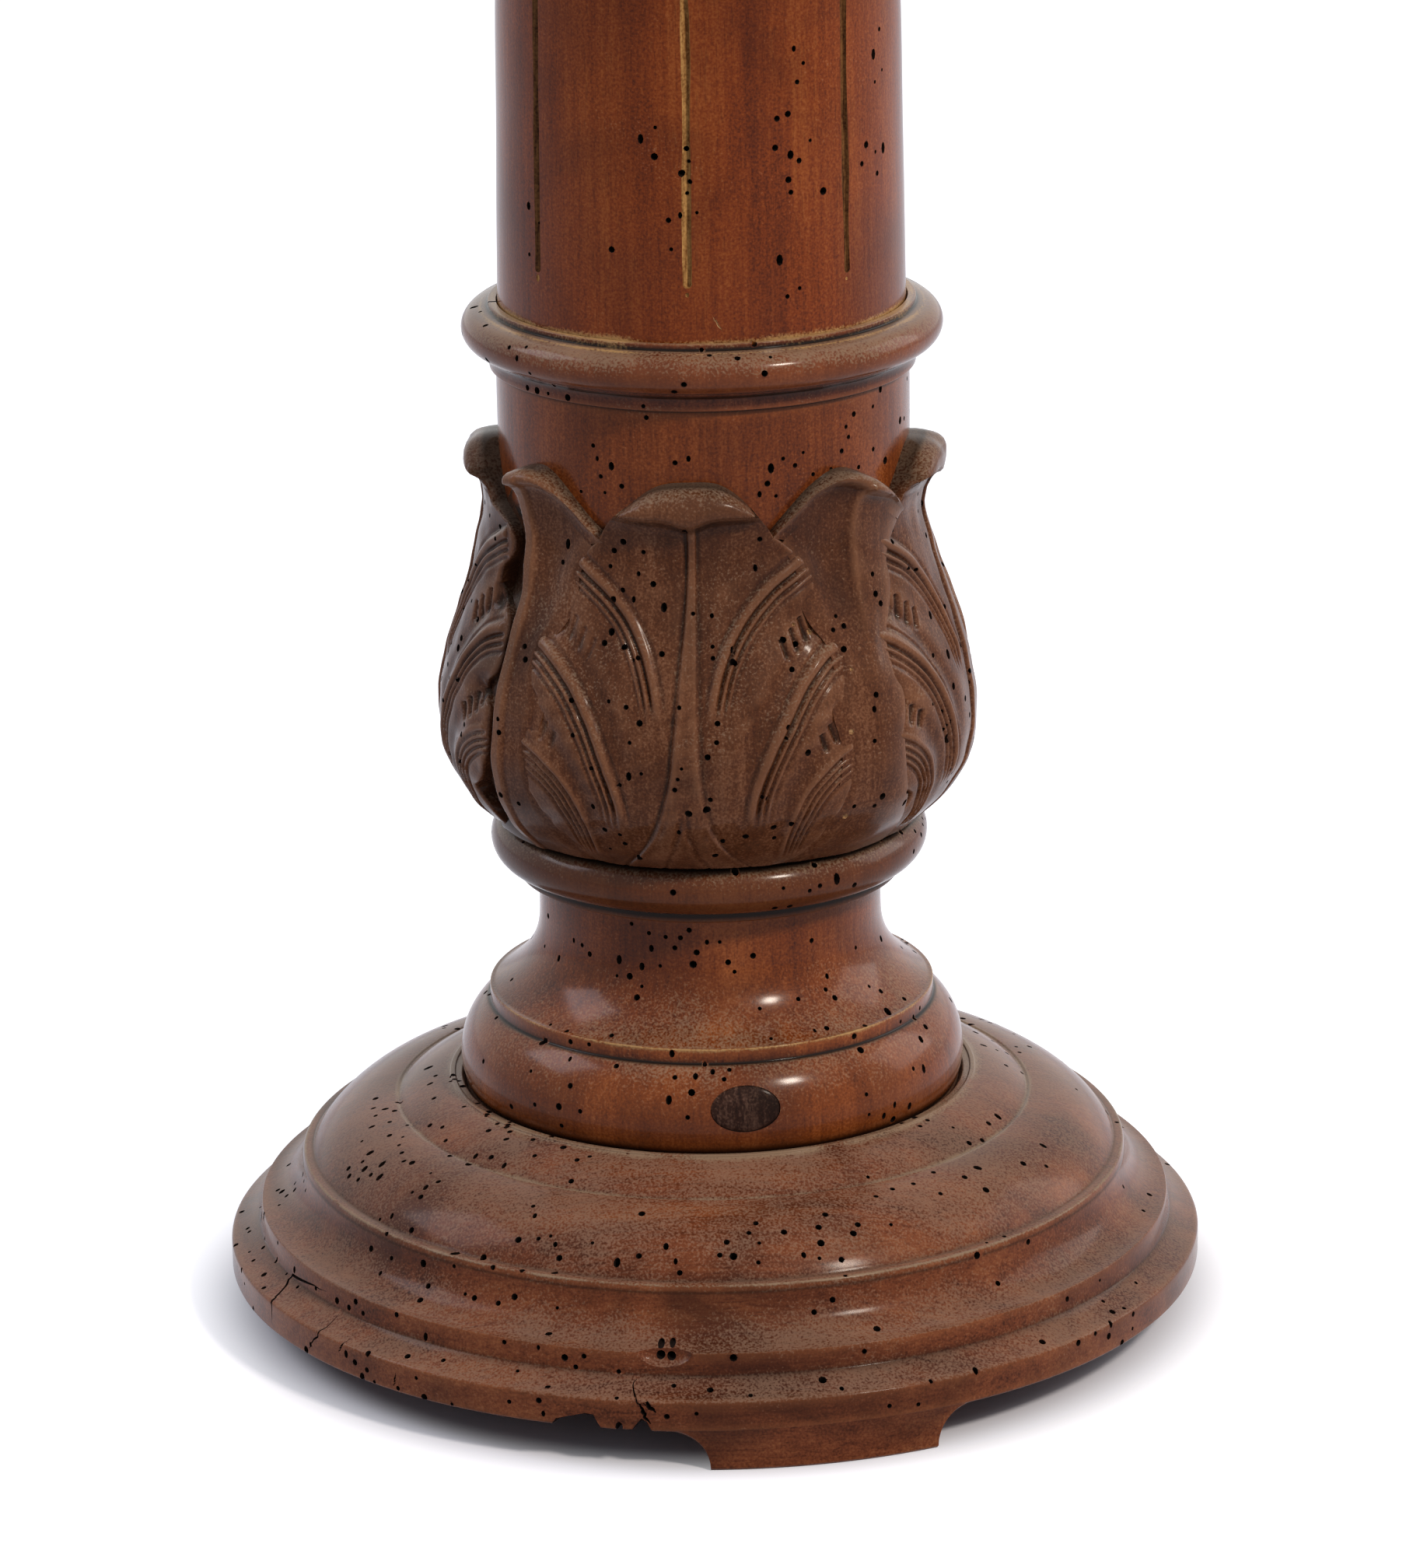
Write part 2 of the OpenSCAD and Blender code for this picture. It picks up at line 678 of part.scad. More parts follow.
// Loose dowel from the bulb through its collar into the shaft
module shaft_dowel() {
    color("#b08d5f")
    translate([0, 0, z_sc - dowel_in]) cylinder(r = dowel_r, h = 2 * dowel_in + z_shaft - z_sc);
}

// Angle of groove i: two wider steps at the front, and the rest spread evenly behind
function groove_angle(i) =
    let (rest = (360 - 2 * groove_front_step) / (groove_n - 2))
    groove_turn + (i == 0 ? 0 : i == groove_n - 1 ? -groove_front_step
        : groove_front_step + rest * (i - 1));

// Straight groove with round stops, cut along the tapered side of the shaft
module groove_cutter() {
    lean = atan((shaft_r - shaft_top_r) / shaft_len);
    run = (shaft_len - groove_foot - groove_top - groove_w) / cos(lean);
    start = groove_foot + groove_w / 2;
    start_r = shaft_r - (shaft_r - shaft_top_r) * start / shaft_len;
    translate([0, -start_r, z_shaft + start]) rotate([-lean, 0, 0]) {
        translate([-groove_w / 2, -groove_reach, 0]) cube([groove_w, groove_reach + groove_d, run]);
        for (z = [0, run]) translate([0, groove_d, z]) rotate([90, 0, 0])
            cylinder(r = groove_w / 2, h = groove_reach + groove_d, $fn = 24);
    }
}

// Tapered shaft with incised grooves
module shaft() {
    color("#8d4a28")
    difference() {
        translate([0, 0, z_shaft]) cylinder(r1 = shaft_r, r2 = shaft_top_r, h = shaft_len, $fn = 180);
        for (i = [0:groove_n - 1]) at_angle(groove_angle(i)) groove_cutter();
        translate([0, 0, z_shaft - 1]) cylinder(r = dowel_r + fit_gap, h = dowel_in + end_gap + 1);
        translate([0, 0, z_shaft_top - dowel_in - end_gap])
            cylinder(r = dowel_r + fit_gap, h = dowel_in + end_gap + 1);
    }
}

// Turned ring between the shaft and the capital, with a recess for the top of the shaft
module capital_collar() {
    ring_r = shaft_top_r + cc_fillet_w;
    recess_r = shaft_top_r + shaft_fit;
    color("#7c4128")
    difference() {
        turn(concat(
            [[0, z_shaft_top], [recess_r, z_shaft_top], [recess_r, z_cc], [ring_r, z_cc],
             [ring_r, z_cc + cc_fillet_h]],
            arc([ring_r + edge, z_cc + cc_fillet_h], [ring_r + edge, z_cc + cc_fillet_h + cc_roll_h],
                cc_roll_r - ring_r - edge, 14),
            [[ring_r, z_cap - cc_fillet_h], [ring_r, z_cap], [0, z_cap]]));
        translate([0, 0, z_cc - 1]) cylinder(r = dowel_r + fit_gap, h = cc_h + 2);
    }
}

// Loose dowel from the shaft through its collar into the capital
module capital_dowel() {
    color("#b08d5f")
    translate([0, 0, z_shaft_top - dowel_in])
        cylinder(r = dowel_r, h = 2 * dowel_in + z_cap - z_shaft_top);
}

// Turned capital: neck, fillet, echinus, hollow and flange
module capital() {
    ring_r = cap_neck_r + cap_ring_w;
    soffit_r = flange_r - soffit_w;
    color("#82462a")
    difference() {
        turn(concat(
            [[0, z_cap], [cap_neck_r, z_cap], [cap_neck_r, z_cap_ring - cap_apophyge_h]],
            arc([cap_neck_r, z_cap_ring - cap_apophyge_h], [ring_r, z_cap_ring], -cap_apophyge_dish, 5),
            [[ring_r, z_echinus]],
            [for (i = [0:14]) let (t = i / 14)
                [ring_r - 1 + (echinus_r - ring_r + 1) * sin(90 * t), z_echinus + echinus_h * t * t]],
            arc([soffit_r - cap_cove_w, z_cap_cove + edge], [soffit_r, z_flange], -cap_cove_dish),
            [[flange_r - edge, z_flange], [flange_r, z_flange + edge], [flange_r, z_top - edge],
             [flange_r - edge, z_top], [0, z_top]]));
        translate([0, 0, z_cap - 1]) cylinder(r = dowel_r + fit_gap, h = dowel_in + end_gap + 1);
        top_screw_places() screw_hole(top_screw_len);
    }
}

// Countersunk screws up through the flange into the top
module top_screws() {
    color("#8a8578") top_screw_places() wood_screw(top_screw_len);
}

// Round top with a square edge over an ogee
module round_top() {
    ogee_r = top_r - top_ogee_w;
    color("#7c452a")
    difference() {
        turn(concat(
            [[0, z_top], [ogee_r, z_top]],
            arc([ogee_r, z_top + top_lead_in], [top_r - top_lead_in, z_end - top_edge_h], top_ogee_swell),
            [[top_r, z_end - top_edge_h], [top_r, z_end - rim_chamfer], [top_r - rim_chamfer, z_end],
             [0, z_end]]));
        top_screw_places() screw_hole(top_screw_len);
    }
}

base_plinth();
base_moulding();
base_screws();
attic_base();
tenon_wedge();
oval_patch();
lower_collar();
neck_dowel();
carved_bulb();
shaft_collar();
shaft_dowel();
shaft();
capital_collar();
capital_dowel();
capital();
top_screws();
round_top();
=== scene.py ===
"""A turned and carved wooden column pedestal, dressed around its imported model.

The functions work in millimetres and the meshes are in metres. Angle 0 is the front, -Y, and angles grow
towards the right, +X, so the point at angle a, radius r and height z is (r sin a, -r cos a, z).
"""
import math

import bmesh
import bpy
import numpy as np
from mathutils import Matrix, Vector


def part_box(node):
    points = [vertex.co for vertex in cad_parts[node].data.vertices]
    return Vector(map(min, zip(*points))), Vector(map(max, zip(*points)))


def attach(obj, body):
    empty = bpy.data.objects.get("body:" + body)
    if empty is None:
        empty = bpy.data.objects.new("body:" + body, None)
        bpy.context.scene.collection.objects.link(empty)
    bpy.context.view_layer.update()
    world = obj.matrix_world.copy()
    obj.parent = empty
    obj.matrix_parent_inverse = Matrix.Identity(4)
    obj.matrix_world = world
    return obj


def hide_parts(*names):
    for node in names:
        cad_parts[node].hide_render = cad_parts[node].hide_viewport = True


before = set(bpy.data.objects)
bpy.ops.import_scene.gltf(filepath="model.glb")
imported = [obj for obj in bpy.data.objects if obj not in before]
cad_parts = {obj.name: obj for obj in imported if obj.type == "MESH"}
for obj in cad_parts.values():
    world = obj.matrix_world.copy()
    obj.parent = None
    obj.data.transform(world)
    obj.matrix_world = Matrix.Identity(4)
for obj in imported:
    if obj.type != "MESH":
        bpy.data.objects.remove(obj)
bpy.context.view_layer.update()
MM = 0.001
FULL_TURN = 2 * math.pi


# Places taken from the frame

def levels(node):
    """Lowest and highest point of a node, in millimetres."""
    low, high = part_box(node)
    return low.z / MM, high.z / MM


def reach(node):
    """Largest distance of a node from the axis, in millimetres, along X."""
    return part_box(node)[1].x / MM


RIM_FOOT = levels("base_screws")[0]
PLINTH_TOP = levels("base_plinth")[1]
LIPS_TOP = levels("base_moulding")[1]
SEAT = LIPS_TOP - 2.6
TENON_FOOT, NECK_TOP = levels("attic_base")
BULB_FOOT, BULB_TOP = levels("carved_bulb")
COLLAR_TOP = levels("shaft_collar")[1]
SHAFT_FOOT, SHAFT_TOP = levels("shaft")
CAP_COLLAR_FOOT, CAP_FOOT = levels("capital_collar")
FLANGE_TOP = levels("capital")[1]
COLUMN_TOP = levels("round_top")[1]
BASE_R = reach("base_plinth")
CLEARANCE = 0.15
DOWEL_BORE = reach("neck_dowel") + CLEARANCE
DOWEL_DEPTH = 44.8
SCREW_CIRCLE = 92
TOP_SCREW_CIRCLE = 97
SCREW_HEAD_BORE = 4.9
SCREW_BORE = 2.5
FOOT_TURN = 12.4
FOOT_HALF_ANGLE = 13.2
TENON_R = 25.0
TENON_BORE = TENON_R + CLEARANCE


# Curves and outlines

def arc(start, end, bulge, count=12):
    """Points on the circle through start and end whose middle stands bulge to the right of the straight
    way."""
    start, end = np.array(start, float), np.array(end, float)
    way = end - start
    length = np.hypot(*way)
    side = np.array([way[1], -way[0]]) / length * math.copysign(1, bulge)
    radius = (length ** 2 / 4 + bulge ** 2) / (2 * abs(bulge))
    t = np.linspace(0, 1, count + 1)
    rise = np.sqrt(radius ** 2 - (length * (t - 0.5)) ** 2) - radius + abs(bulge)
    return start + way * t[:, None] + side * rise[:, None]


def joined(*runs):
    """Runs of (r, z) points, one after the other."""
    return np.vstack([np.asarray(run, float).reshape(-1, 2) for run in runs])


def through(points, x):
    """Smooth curve through (x, y) points: between two of them the cubic with the slopes of their
    neighbours."""
    px, py = np.array(points, float).T
    slope = np.gradient(py, px)
    i = np.clip(np.searchsorted(px, x) - 1, 0, len(px) - 2)
    width = px[i + 1] - px[i]
    t = np.clip((x - px[i]) / width, 0, 1)
    return ((2 * t ** 3 - 3 * t ** 2 + 1) * py[i] + (t ** 3 - 2 * t ** 2 + t) * width * slope[i]
            + (3 * t ** 2 - 2 * t ** 3) * py[i + 1] + (t ** 3 - t ** 2) * width * slope[i + 1])


def smooth_way(spots, count):
    """Count points on the smooth way through (x, y) spots, evenly many between each two."""
    spots = np.array(spots, float)
    knots = np.arange(len(spots))
    t = np.linspace(0, len(spots) - 1, count)
    return np.stack([through(np.stack([knots, spots[:, k]], 1), t) for k in (0, 1)], 1)


def ease(t):
    """Soft step from 0 to 1."""
    t = np.clip(t, 0, 1)
    return t * t * (3 - 2 * t)


SINES = 9


def waves(x, y, seed, size):
    """Even, wandering relief between about -1 and 1: the mean of sines that run in chance directions, each
    about size long."""
    rng = np.random.default_rng(seed)
    total = np.zeros(np.broadcast(x, y).shape)
    for _ in range(SINES):
        turn, phase = rng.uniform(0, FULL_TURN, 2)
        pace = FULL_TURN / (size * rng.uniform(0.6, 1.7))
        total += np.sin(pace * (x * math.cos(turn) + y * math.sin(turn)) + phase)
    return total / math.sqrt(SINES)


def soften(outline, radius, closed):
    """Rounds the sharp corners of an outline: corner p gives way to (1-t)^2 a + 2t(1-t) p + t^2 b, where a
    and b are the points on its two sides at most radius away."""
    to_a = np.roll(outline, 1, 0) - outline
    to_b = np.roll(outline, -1, 0) - outline
    len_a = np.linalg.norm(to_a, axis=1) + 1e-9
    len_b = np.linalg.norm(to_b, axis=1) + 1e-9
    bend = -(to_a * to_b).sum(1) / (len_a * len_b)
    sharp = bend < 0.94
    if not closed:
        sharp[[0, -1]] = False
    cut = np.where(sharp, radius, 0.0)
    a = outline + to_a * (np.minimum(cut, 0.45 * len_a) / len_a)[:, None]
    b = outline + to_b * (np.minimum(cut, 0.45 * len_b) / len_b)[:, None]
    t = np.array([0, 0.35, 0.65, 1])[None, :, None]
    curve = (1 - t) ** 2 * a[:, None] + 2 * t * (1 - t) * outline[:, None] + t ** 2 * b[:, None]
    kept = np.ones((len(outline), 4), bool)
    kept[~sharp, 1:] = False
    return curve[kept]


def spaced(outline, step, closed):
    """Puts points along an outline so that none is more than step from the next, or four steps on a long
    run."""
    starts = outline if closed else outline[:-1]
    ends = np.roll(outline, -1, 0) if closed else outline[1:]
    length = np.linalg.norm(ends - starts, axis=1)
    count = np.maximum(1, np.ceil(length / np.where(length > 20, 4 * step, step))).astype(int)
    which = np.repeat(np.arange(len(starts)), count)
    part = (np.arange(count.sum()) - np.repeat(np.cumsum(count) - count, count)) / count[which]
    points = starts[which] + (ends - starts)[which] * part[:, None]
    return points if closed else np.vstack([points, outline[-1:]])


# How wide the bell curve is that tells a hollow from an arris, in millimetres
BLUR = 2.4


def samples(outline, closed, step=0.5):
    """Even samples of an outline, how deep each lies in a hollow (plus) or out on an edge (minus), and
    their outward normals. The depth is the way, along the normal, to the line blurred by a bell curve."""
    path = np.vstack([outline, outline[:1]]) if closed else outline
    run = np.concatenate([[0], np.cumsum(np.linalg.norm(np.diff(path, axis=0), axis=1))])
    s = np.arange(0, run[-1], step)
    line = np.stack([np.interp(s, run, path[:, 0]), np.interp(s, run, path[:, 1])], 1)
    half = int(3 * BLUR / step)
    weights = np.exp(-0.5 * (np.arange(-half, half + 1) * step / BLUR) ** 2)
    padded = np.pad(line, ((half, half), (0, 0)), mode="wrap" if closed else "edge")
    soft = np.stack([np.convolve(padded[:, k], weights / weights.sum(), "valid") for k in (0, 1)], 1)
    way = np.gradient(line, axis=0)
    normal = np.stack([way[:, 1], -way[:, 0]], 1) / (np.linalg.norm(way, axis=1)[:, None] + 1e-9)
    return line, ((soft - line) * normal).sum(1), normal


def around(r, a, z):
    """Points from radius, angle in radians and height."""
    return np.stack([r * np.sin(a), -r * np.cos(a), z + 0 * a], -1)


def once_round(count):
    """Even angles once round."""
    return np.linspace(0, FULL_TURN, count, endpoint=False)


def grid_faces(rows, columns, wrap_rows=False, wrap_columns=False):
    """Quads of a grid of points numbered row * columns + column."""
    i = np.arange(rows if wrap_rows else rows - 1)[:, None]
    j = np.arange(columns if wrap_columns else columns - 1)[None, :]
    i2, j2 = (i + 1) % rows, (j + 1) % columns
    quads = np.stack([i * columns + j, i2 * columns + j, i2 * columns + j2, i * columns + j2], -1)
    return quads.reshape(-1, 4)


# Meshes

def new_piece(name, points, faces, material, marks=None):
    """An object at the origin from points in millimetres, with doubles merged and faces turned outwards.
    Marks are named values of its points."""
    mesh = bpy.data.meshes.new(name)
    mesh.from_pydata((np.asarray(points, float).reshape(-1, 3) * MM).tolist(), [], faces)
    mesh.materials.append(material)
    for mark, values in (marks or {}).items():
        layer = mesh.attributes.new(mark, "FLOAT", "POINT")
        layer.data.foreach_set("value", np.asarray(values, np.float32).ravel())
    shape = bmesh.new()
    shape.from_mesh(mesh)
    bmesh.ops.remove_doubles(shape, verts=shape.verts, dist=1e-7)
    bmesh.ops.recalc_face_normals(shape, faces=shape.faces)
    shape.to_mesh(mesh)
    shape.free()
    piece = bpy.data.objects.new(name, mesh)
    bpy.context.scene.collection.objects.link(piece)
    return piece


def carve(piece, cutter, way="DIFFERENCE"):
    """Takes a closed cutter out of a piece, or adds it, and deletes the cutter. Cut walls keep its
    material."""
    change = piece.modifiers.new("carve", "BOOLEAN")
    change.object = cutter
    change.operation = way
    change.solver = "MANIFOLD"
    change.material_mode = "TRANSFER"
    graph = bpy.context.evaluated_depsgraph_get()
    graph.update()
    result = bpy.data.meshes.new_from_object(piece.evaluated_get(graph))
    piece.modifiers.clear()
    old, name = piece.data, piece.data.name
    piece.data = result
    bpy.data.meshes.remove(old)
    result.name = name
    bpy.data.objects.remove(cutter)


def finish_piece(piece, node, sharp=38):
    """Smooth shading with sharp arrises, and the piece's place in the frame."""
    piece.data.shade_smooth()
    piece.data.set_sharp_from_angle(angle=math.radians(sharp))
    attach(piece, "root")
    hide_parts(node)


SEGMENTS = 400
# How deep a hollow is full of grime and painted shade, and how far out an arris is worn bare and painted with
# highlight, in millimetres
FULL_GRIME_AND_SHADE = 0.8
FULL_WEAR = 0.7


def turned(name, outline, material, closed=True, corner=0.45, step=1.5, sway=0.09, packed=(), grimy=()):
    """A piece off the lathe: every outline point (r, z) goes round the axis, and its radius sways with sway
    * waves(a, z), as old wood does. Its hollows are marked as grime with painted shade, and its arrises as
      wear
    with painted highlight. What lies near the (r, z, reach) places is marked as packed dust, or as grime with
    painted shade."""
    line = spaced(soften(outline, corner, closed), step, closed)
    a = once_round(SEGMENTS)[:, None]
    r, z = line[None, :, 0], line[None, :, 1]
    r = r + sway * waves(r * np.sin(a) + z, r * np.cos(a) - z, 3, 70) * (r > TENON_BORE + 1)
    place, depth, _ = samples(outline, closed)
    depth = depth[np.linalg.norm(line[:, None] - place[None], axis=2).argmin(1)] + 0 * a
    faces = grid_faces(SEGMENTS, len(line), wrap_rows=True, wrap_columns=closed)
    marks = {"grime_and_shade": np.clip(depth / FULL_GRIME_AND_SHADE, 0, 1), "wear_and_highlight": np.clip(-depth / FULL_WEAR, 0, 1),
             "packed": 0 * depth}
    for mark, places in (("packed", packed), ("grime_and_shade", grimy)):
        for at_r, at_z, near in places:
            close = np.clip(1.3 - np.hypot(r - at_r, z - at_z) / near, 0, 1)
            marks[mark] = np.maximum(marks[mark], close)
    return new_piece(name, around(r, a, z), faces.tolist(), material, marks)


def strip(name, sections, material):
    """A closed body through sections of equally many points, closed at both ends."""
    sections = np.asarray(sections, float)
    count, size = sections.shape[:2]
    faces = grid_faces(count, size, wrap_columns=True).tolist()
    faces += [list(range(size)), [(count - 1) * size + k for k in range(size)][::-1]]
    return new_piece(name, sections, faces, material)


def several(name, pieces, material):
    """Joins closed bodies into one mesh."""
    points, faces, start = [], [], 0
    for piece in pieces:
        mesh = piece.data
        co = np.empty(len(mesh.vertices) * 3)
        mesh.vertices.foreach_get("co", co)
        points.append(co.reshape(-1, 3) / MM)
        faces += [[v + start for v in face.vertices] for face in mesh.polygons]
        start += len(mesh.vertices)
        bpy.data.objects.remove(piece)
    return new_piece(name, np.vstack(points), faces, material)


# Worm holes, cracks and chips

HOLE_GAP = 3.4


def across(normal):
    """Two unit vectors square to each normal and to each other."""
    helper = np.where(np.abs(normal[:, 2:]) < 0.9, [[0.0, 0.0, 1.0]], [[1.0, 0.0, 0.0]])
    u = np.cross(helper, normal)
    u /= np.linalg.norm(u, axis=1)[:, None]
    return u, np.cross(normal, u)


def borings(places, normals, seed, material, sides=8, proud=1.0, deep=(2.2, 4.2)):
    """Closed pegs that cut worm holes: a ring of points stands proud of each place and a narrower one lies
    deep in the wood, along the normal bent a little by chance. One in five is drawn out into a short
    slot."""
    rng = np.random.default_rng(seed)
    count = len(places)
    bent = normals + rng.normal(0, 0.1, (count, 3))
    bent /= np.linalg.norm(bent, axis=1)[:, None]
    u, v = across(bent)
    radius = 0.5 + 0.9 * rng.beta(2, 2.6, count)
    long = np.where(rng.random(count) < 0.2, rng.uniform(1.25, 1.7, count), 1.0)
    depth = rng.uniform(*deep, count)
    t = once_round(sides)[None, :, None]
    ring = radius[:, None, None] * (np.cos(t) * u[:, None] + long[:, None, None] * np.sin(t) * v[:, None])
    top = places[:, None] + bent[:, None] * proud + ring
    foot = places[:, None] - (bent * depth[:, None])[:, None] + ring * 0.75
    points = np.stack([top, foot], 1).reshape(-1, 3)
    base = np.arange(count) * 2 * sides
    k = np.arange(sides)
    walls = np.stack([k, k + sides, (k + 1) % sides + sides, (k + 1) % sides], -1)
    faces = (walls[None] + base[:, None, None]).reshape(-1, 4).tolist()
    faces += (k[None] + base[:, None]).tolist()
    faces += (k[None, ::-1] + base[:, None] + sides).tolist()
    return new_piece("borings", points, faces, material)


def apart(places, gap):
    """Which places to keep so that none lies nearer than gap to another kept one."""
    near = np.linalg.norm(places[:, None] - places[None], axis=2) < gap
    kept = np.ones(len(places), bool)
    for i in range(len(places)):
        if kept[i]:
            kept[i + 1:] &= ~near[i, i + 1:]
    return kept


def worm_places(outline, closed, count, seed, low, high, least_r):
    """Chance places on a turned surface between two heights, in nests of one to nine holes some millimetres
    apart, with their normals."""
    rng = np.random.default_rng(seed)
    line, _, normal = samples(outline, closed)
    fair = (line[:, 1] > low) & (line[:, 1] < high) & (line[:, 0] > least_r) & (normal[:, 1] > -0.75)
    line, normal = line[fair], normal[fair]
    nests = rng.choice(len(line), size=count, p=line[:, 0] / line[:, 0].sum())
    turn = rng.uniform(0, FULL_TURN, count)
    nest = np.repeat(np.arange(count), rng.choice([1, 1, 2, 3, 5, 9], size=count))[:count]
    shift = rng.normal(0, 12, len(nest)).astype(int)
    index = np.clip(nests[nest] + shift, 0, len(line) - 1)
    r, z = line[index].T
    a = turn[nest] + rng.normal(0, 6.5, len(nest)) / r
    return around(r, a, z), around(normal[index, 0], a, normal[index, 1])


def riddle(piece, outline, closed, count, seed, low, high, least_r, nests=()):
    """Cuts worm holes into a turned piece at chance places, and near given (angle, height, holes, width,
    length) nests."""
    places, normals = worm_places(outline, closed, count, seed, low, high, least_r)
    rng = np.random.default_rng(seed + 500)
    for angle, height, holes, width, length in nests:
        spots = np.stack([rng.normal(angle, width, holes), rng.normal(height, length, holes)], 1)
        spots[:, 1] = np.clip(spots[:, 1], low, high)
        more = on_surface(outline, closed, spots)
        places, normals = np.vstack([more[0], places]), np.vstack([more[1], normals])
    kept = apart(places, HOLE_GAP)
    carve(piece, borings(places[kept], normals[kept], seed, BORE_SHADE_AND_DUST))


def lathe_work(name, node, outline, material, holes, cuts=(), slot="turned_wood", closed=True, **looks):
    """A turned piece from outline to finish: cut by closed cutters, then by the holes that riddle takes."""
    piece = turned(name, outline, material, closed, **looks)
    for cutter in cuts:
        carve(piece, cutter)
    riddle(piece, outline, closed, *holes)
    finish_piece(piece, node)


def on_surface(outline, closed, spots):
    """Points and normals on a turned surface for (angle, height) spots, on its outermost face at each
    height."""
    line, _, normal = samples(outline, closed, step=0.25)
    near = np.abs(line[None, :, 1] - np.array(spots, float)[:, 1:]) < 0.3
    index = np.where(near, line[None, :, 0], 0).argmax(1)
    a = np.radians(np.array(spots, float)[:, 0])
    return around(line[index, 0], a, line[index, 1]), around(normal[index, 0], a, normal[index, 1])


def crack(outline, closed, spots, width, depth, material):
    """A wedge along a smooth way through (angle, height) spots: two points stand proud, width apart, and
    one lies deep. It runs out to nothing at both ends and wanders a little."""
    way = smooth_way(spots, 14)
    way[1:-1] += np.random.default_rng(len(spots)).normal(0, [[0.12, 0.16]], (len(way) - 2, 2))
    places, normals = on_surface(outline, closed, way)
    along = np.gradient(places, axis=0)
    side = np.cross(along, normals)
    side /= np.linalg.norm(side, axis=1)[:, None]
    swell = np.sin(np.linspace(0.15, math.pi - 0.15, len(way)))[:, None]
    left = places + normals * 0.7 + side * width / 2 * swell
    right = places + normals * 0.7 - side * width / 2 * swell
    return strip("crack", np.stack([left, right, places - normals * depth * swell], 1), material)


# Colours and shader nodes

def linear(code):
    """Linear colour from an sRGB hex code, or a grey from a number."""
    if not isinstance(code, str):
        return [code] * 3 + [1.0]
    values = [int(code[i:i + 2], 16) / 255 for i in (1, 3, 5)]
    return [v / 12.92 if v <= 0.04045 else ((v + 0.055) / 1.055) ** 2.4 for v in values] + [1.0]


def add(tree, kind, inputs=None, output=0, **settings):
    """Adds a node and gives back one of its outputs. Inputs are outputs of other nodes, numbers, vectors or
    colour codes, and settings are its properties."""
    made = tree.nodes.new(kind)
    for key, value in settings.items():
        setattr(made, key, value)
    for key, value in (inputs or {}).items():
        if isinstance(value, bpy.types.NodeSocket):
            tree.links.new(made.inputs[key], value)
        else:
            made.inputs[key].default_value = linear(value) if isinstance(value, str) else value
    return made.outputs[output] if made.outputs else None


def ramp(tree, pattern, *stops):
    """Colours or strengths that follow a pattern through (place, colour or strength) stops."""
    made = tree.nodes.new("ShaderNodeValToRGB")
    tree.links.new(made.inputs["Fac"], pattern)
    points = made.color_ramp.elements
    for place, _ in stops[1:-1]:
        points.new(place)
    for point, (place, colour) in zip(points, stops):
        point.position = place
        point.color = linear(colour)
    return made.outputs[0]


# Near-black of grime and painted shade in hollows and under overhangs
GRIME_AND_SHADE_COLOUR = "#140a05"


def strength(tree, start, *parts):
    """How strong an effect is at each point: start, plus each pattern times its share."""
    for pattern, share in parts:
        start = add(tree, "ShaderNodeMath", {0: pattern, 1: share, 2: start}, operation="MULTIPLY_ADD")
    return start


def grain(tree, wide, long, axis, detail, twist=0.0):
    """Noise with marks wide and long in millimetres, their length along the given axis."""
    size = [wide, wide, wide]
    size["XYZ".index(axis)] = long
    place = add(tree, "ShaderNodeTexCoord", output="Object")
    scaled = add(tree, "ShaderNodeMapping", {"Vector": place, "Scale": [1 / (MM * s) for s in size]})
    return add(tree, "ShaderNodeTexNoise", {"Vector": scaled, "Scale": 1.0, "Detail": detail,
                                            "Distortion": twist}, "Fac")


def bare_material(name):
    """A material with no nodes yet."""
    material = bpy.data.materials.new(name)
    material.use_nodes = True
    material.node_tree.nodes.clear()
    return material, material.node_tree


def shade(tree, looks, relief, height):
    """Ends a material in one shader with the given inputs and a bump of the given strength."""
    bump = add(tree, "ShaderNodeBump", {"Strength": relief, "Distance": MM, "Height": height})
    shader = add(tree, "ShaderNodeBsdfPrincipled", {**looks, "Normal": bump})
    add(tree, "ShaderNodeOutputMaterial", {"Surface": shader})


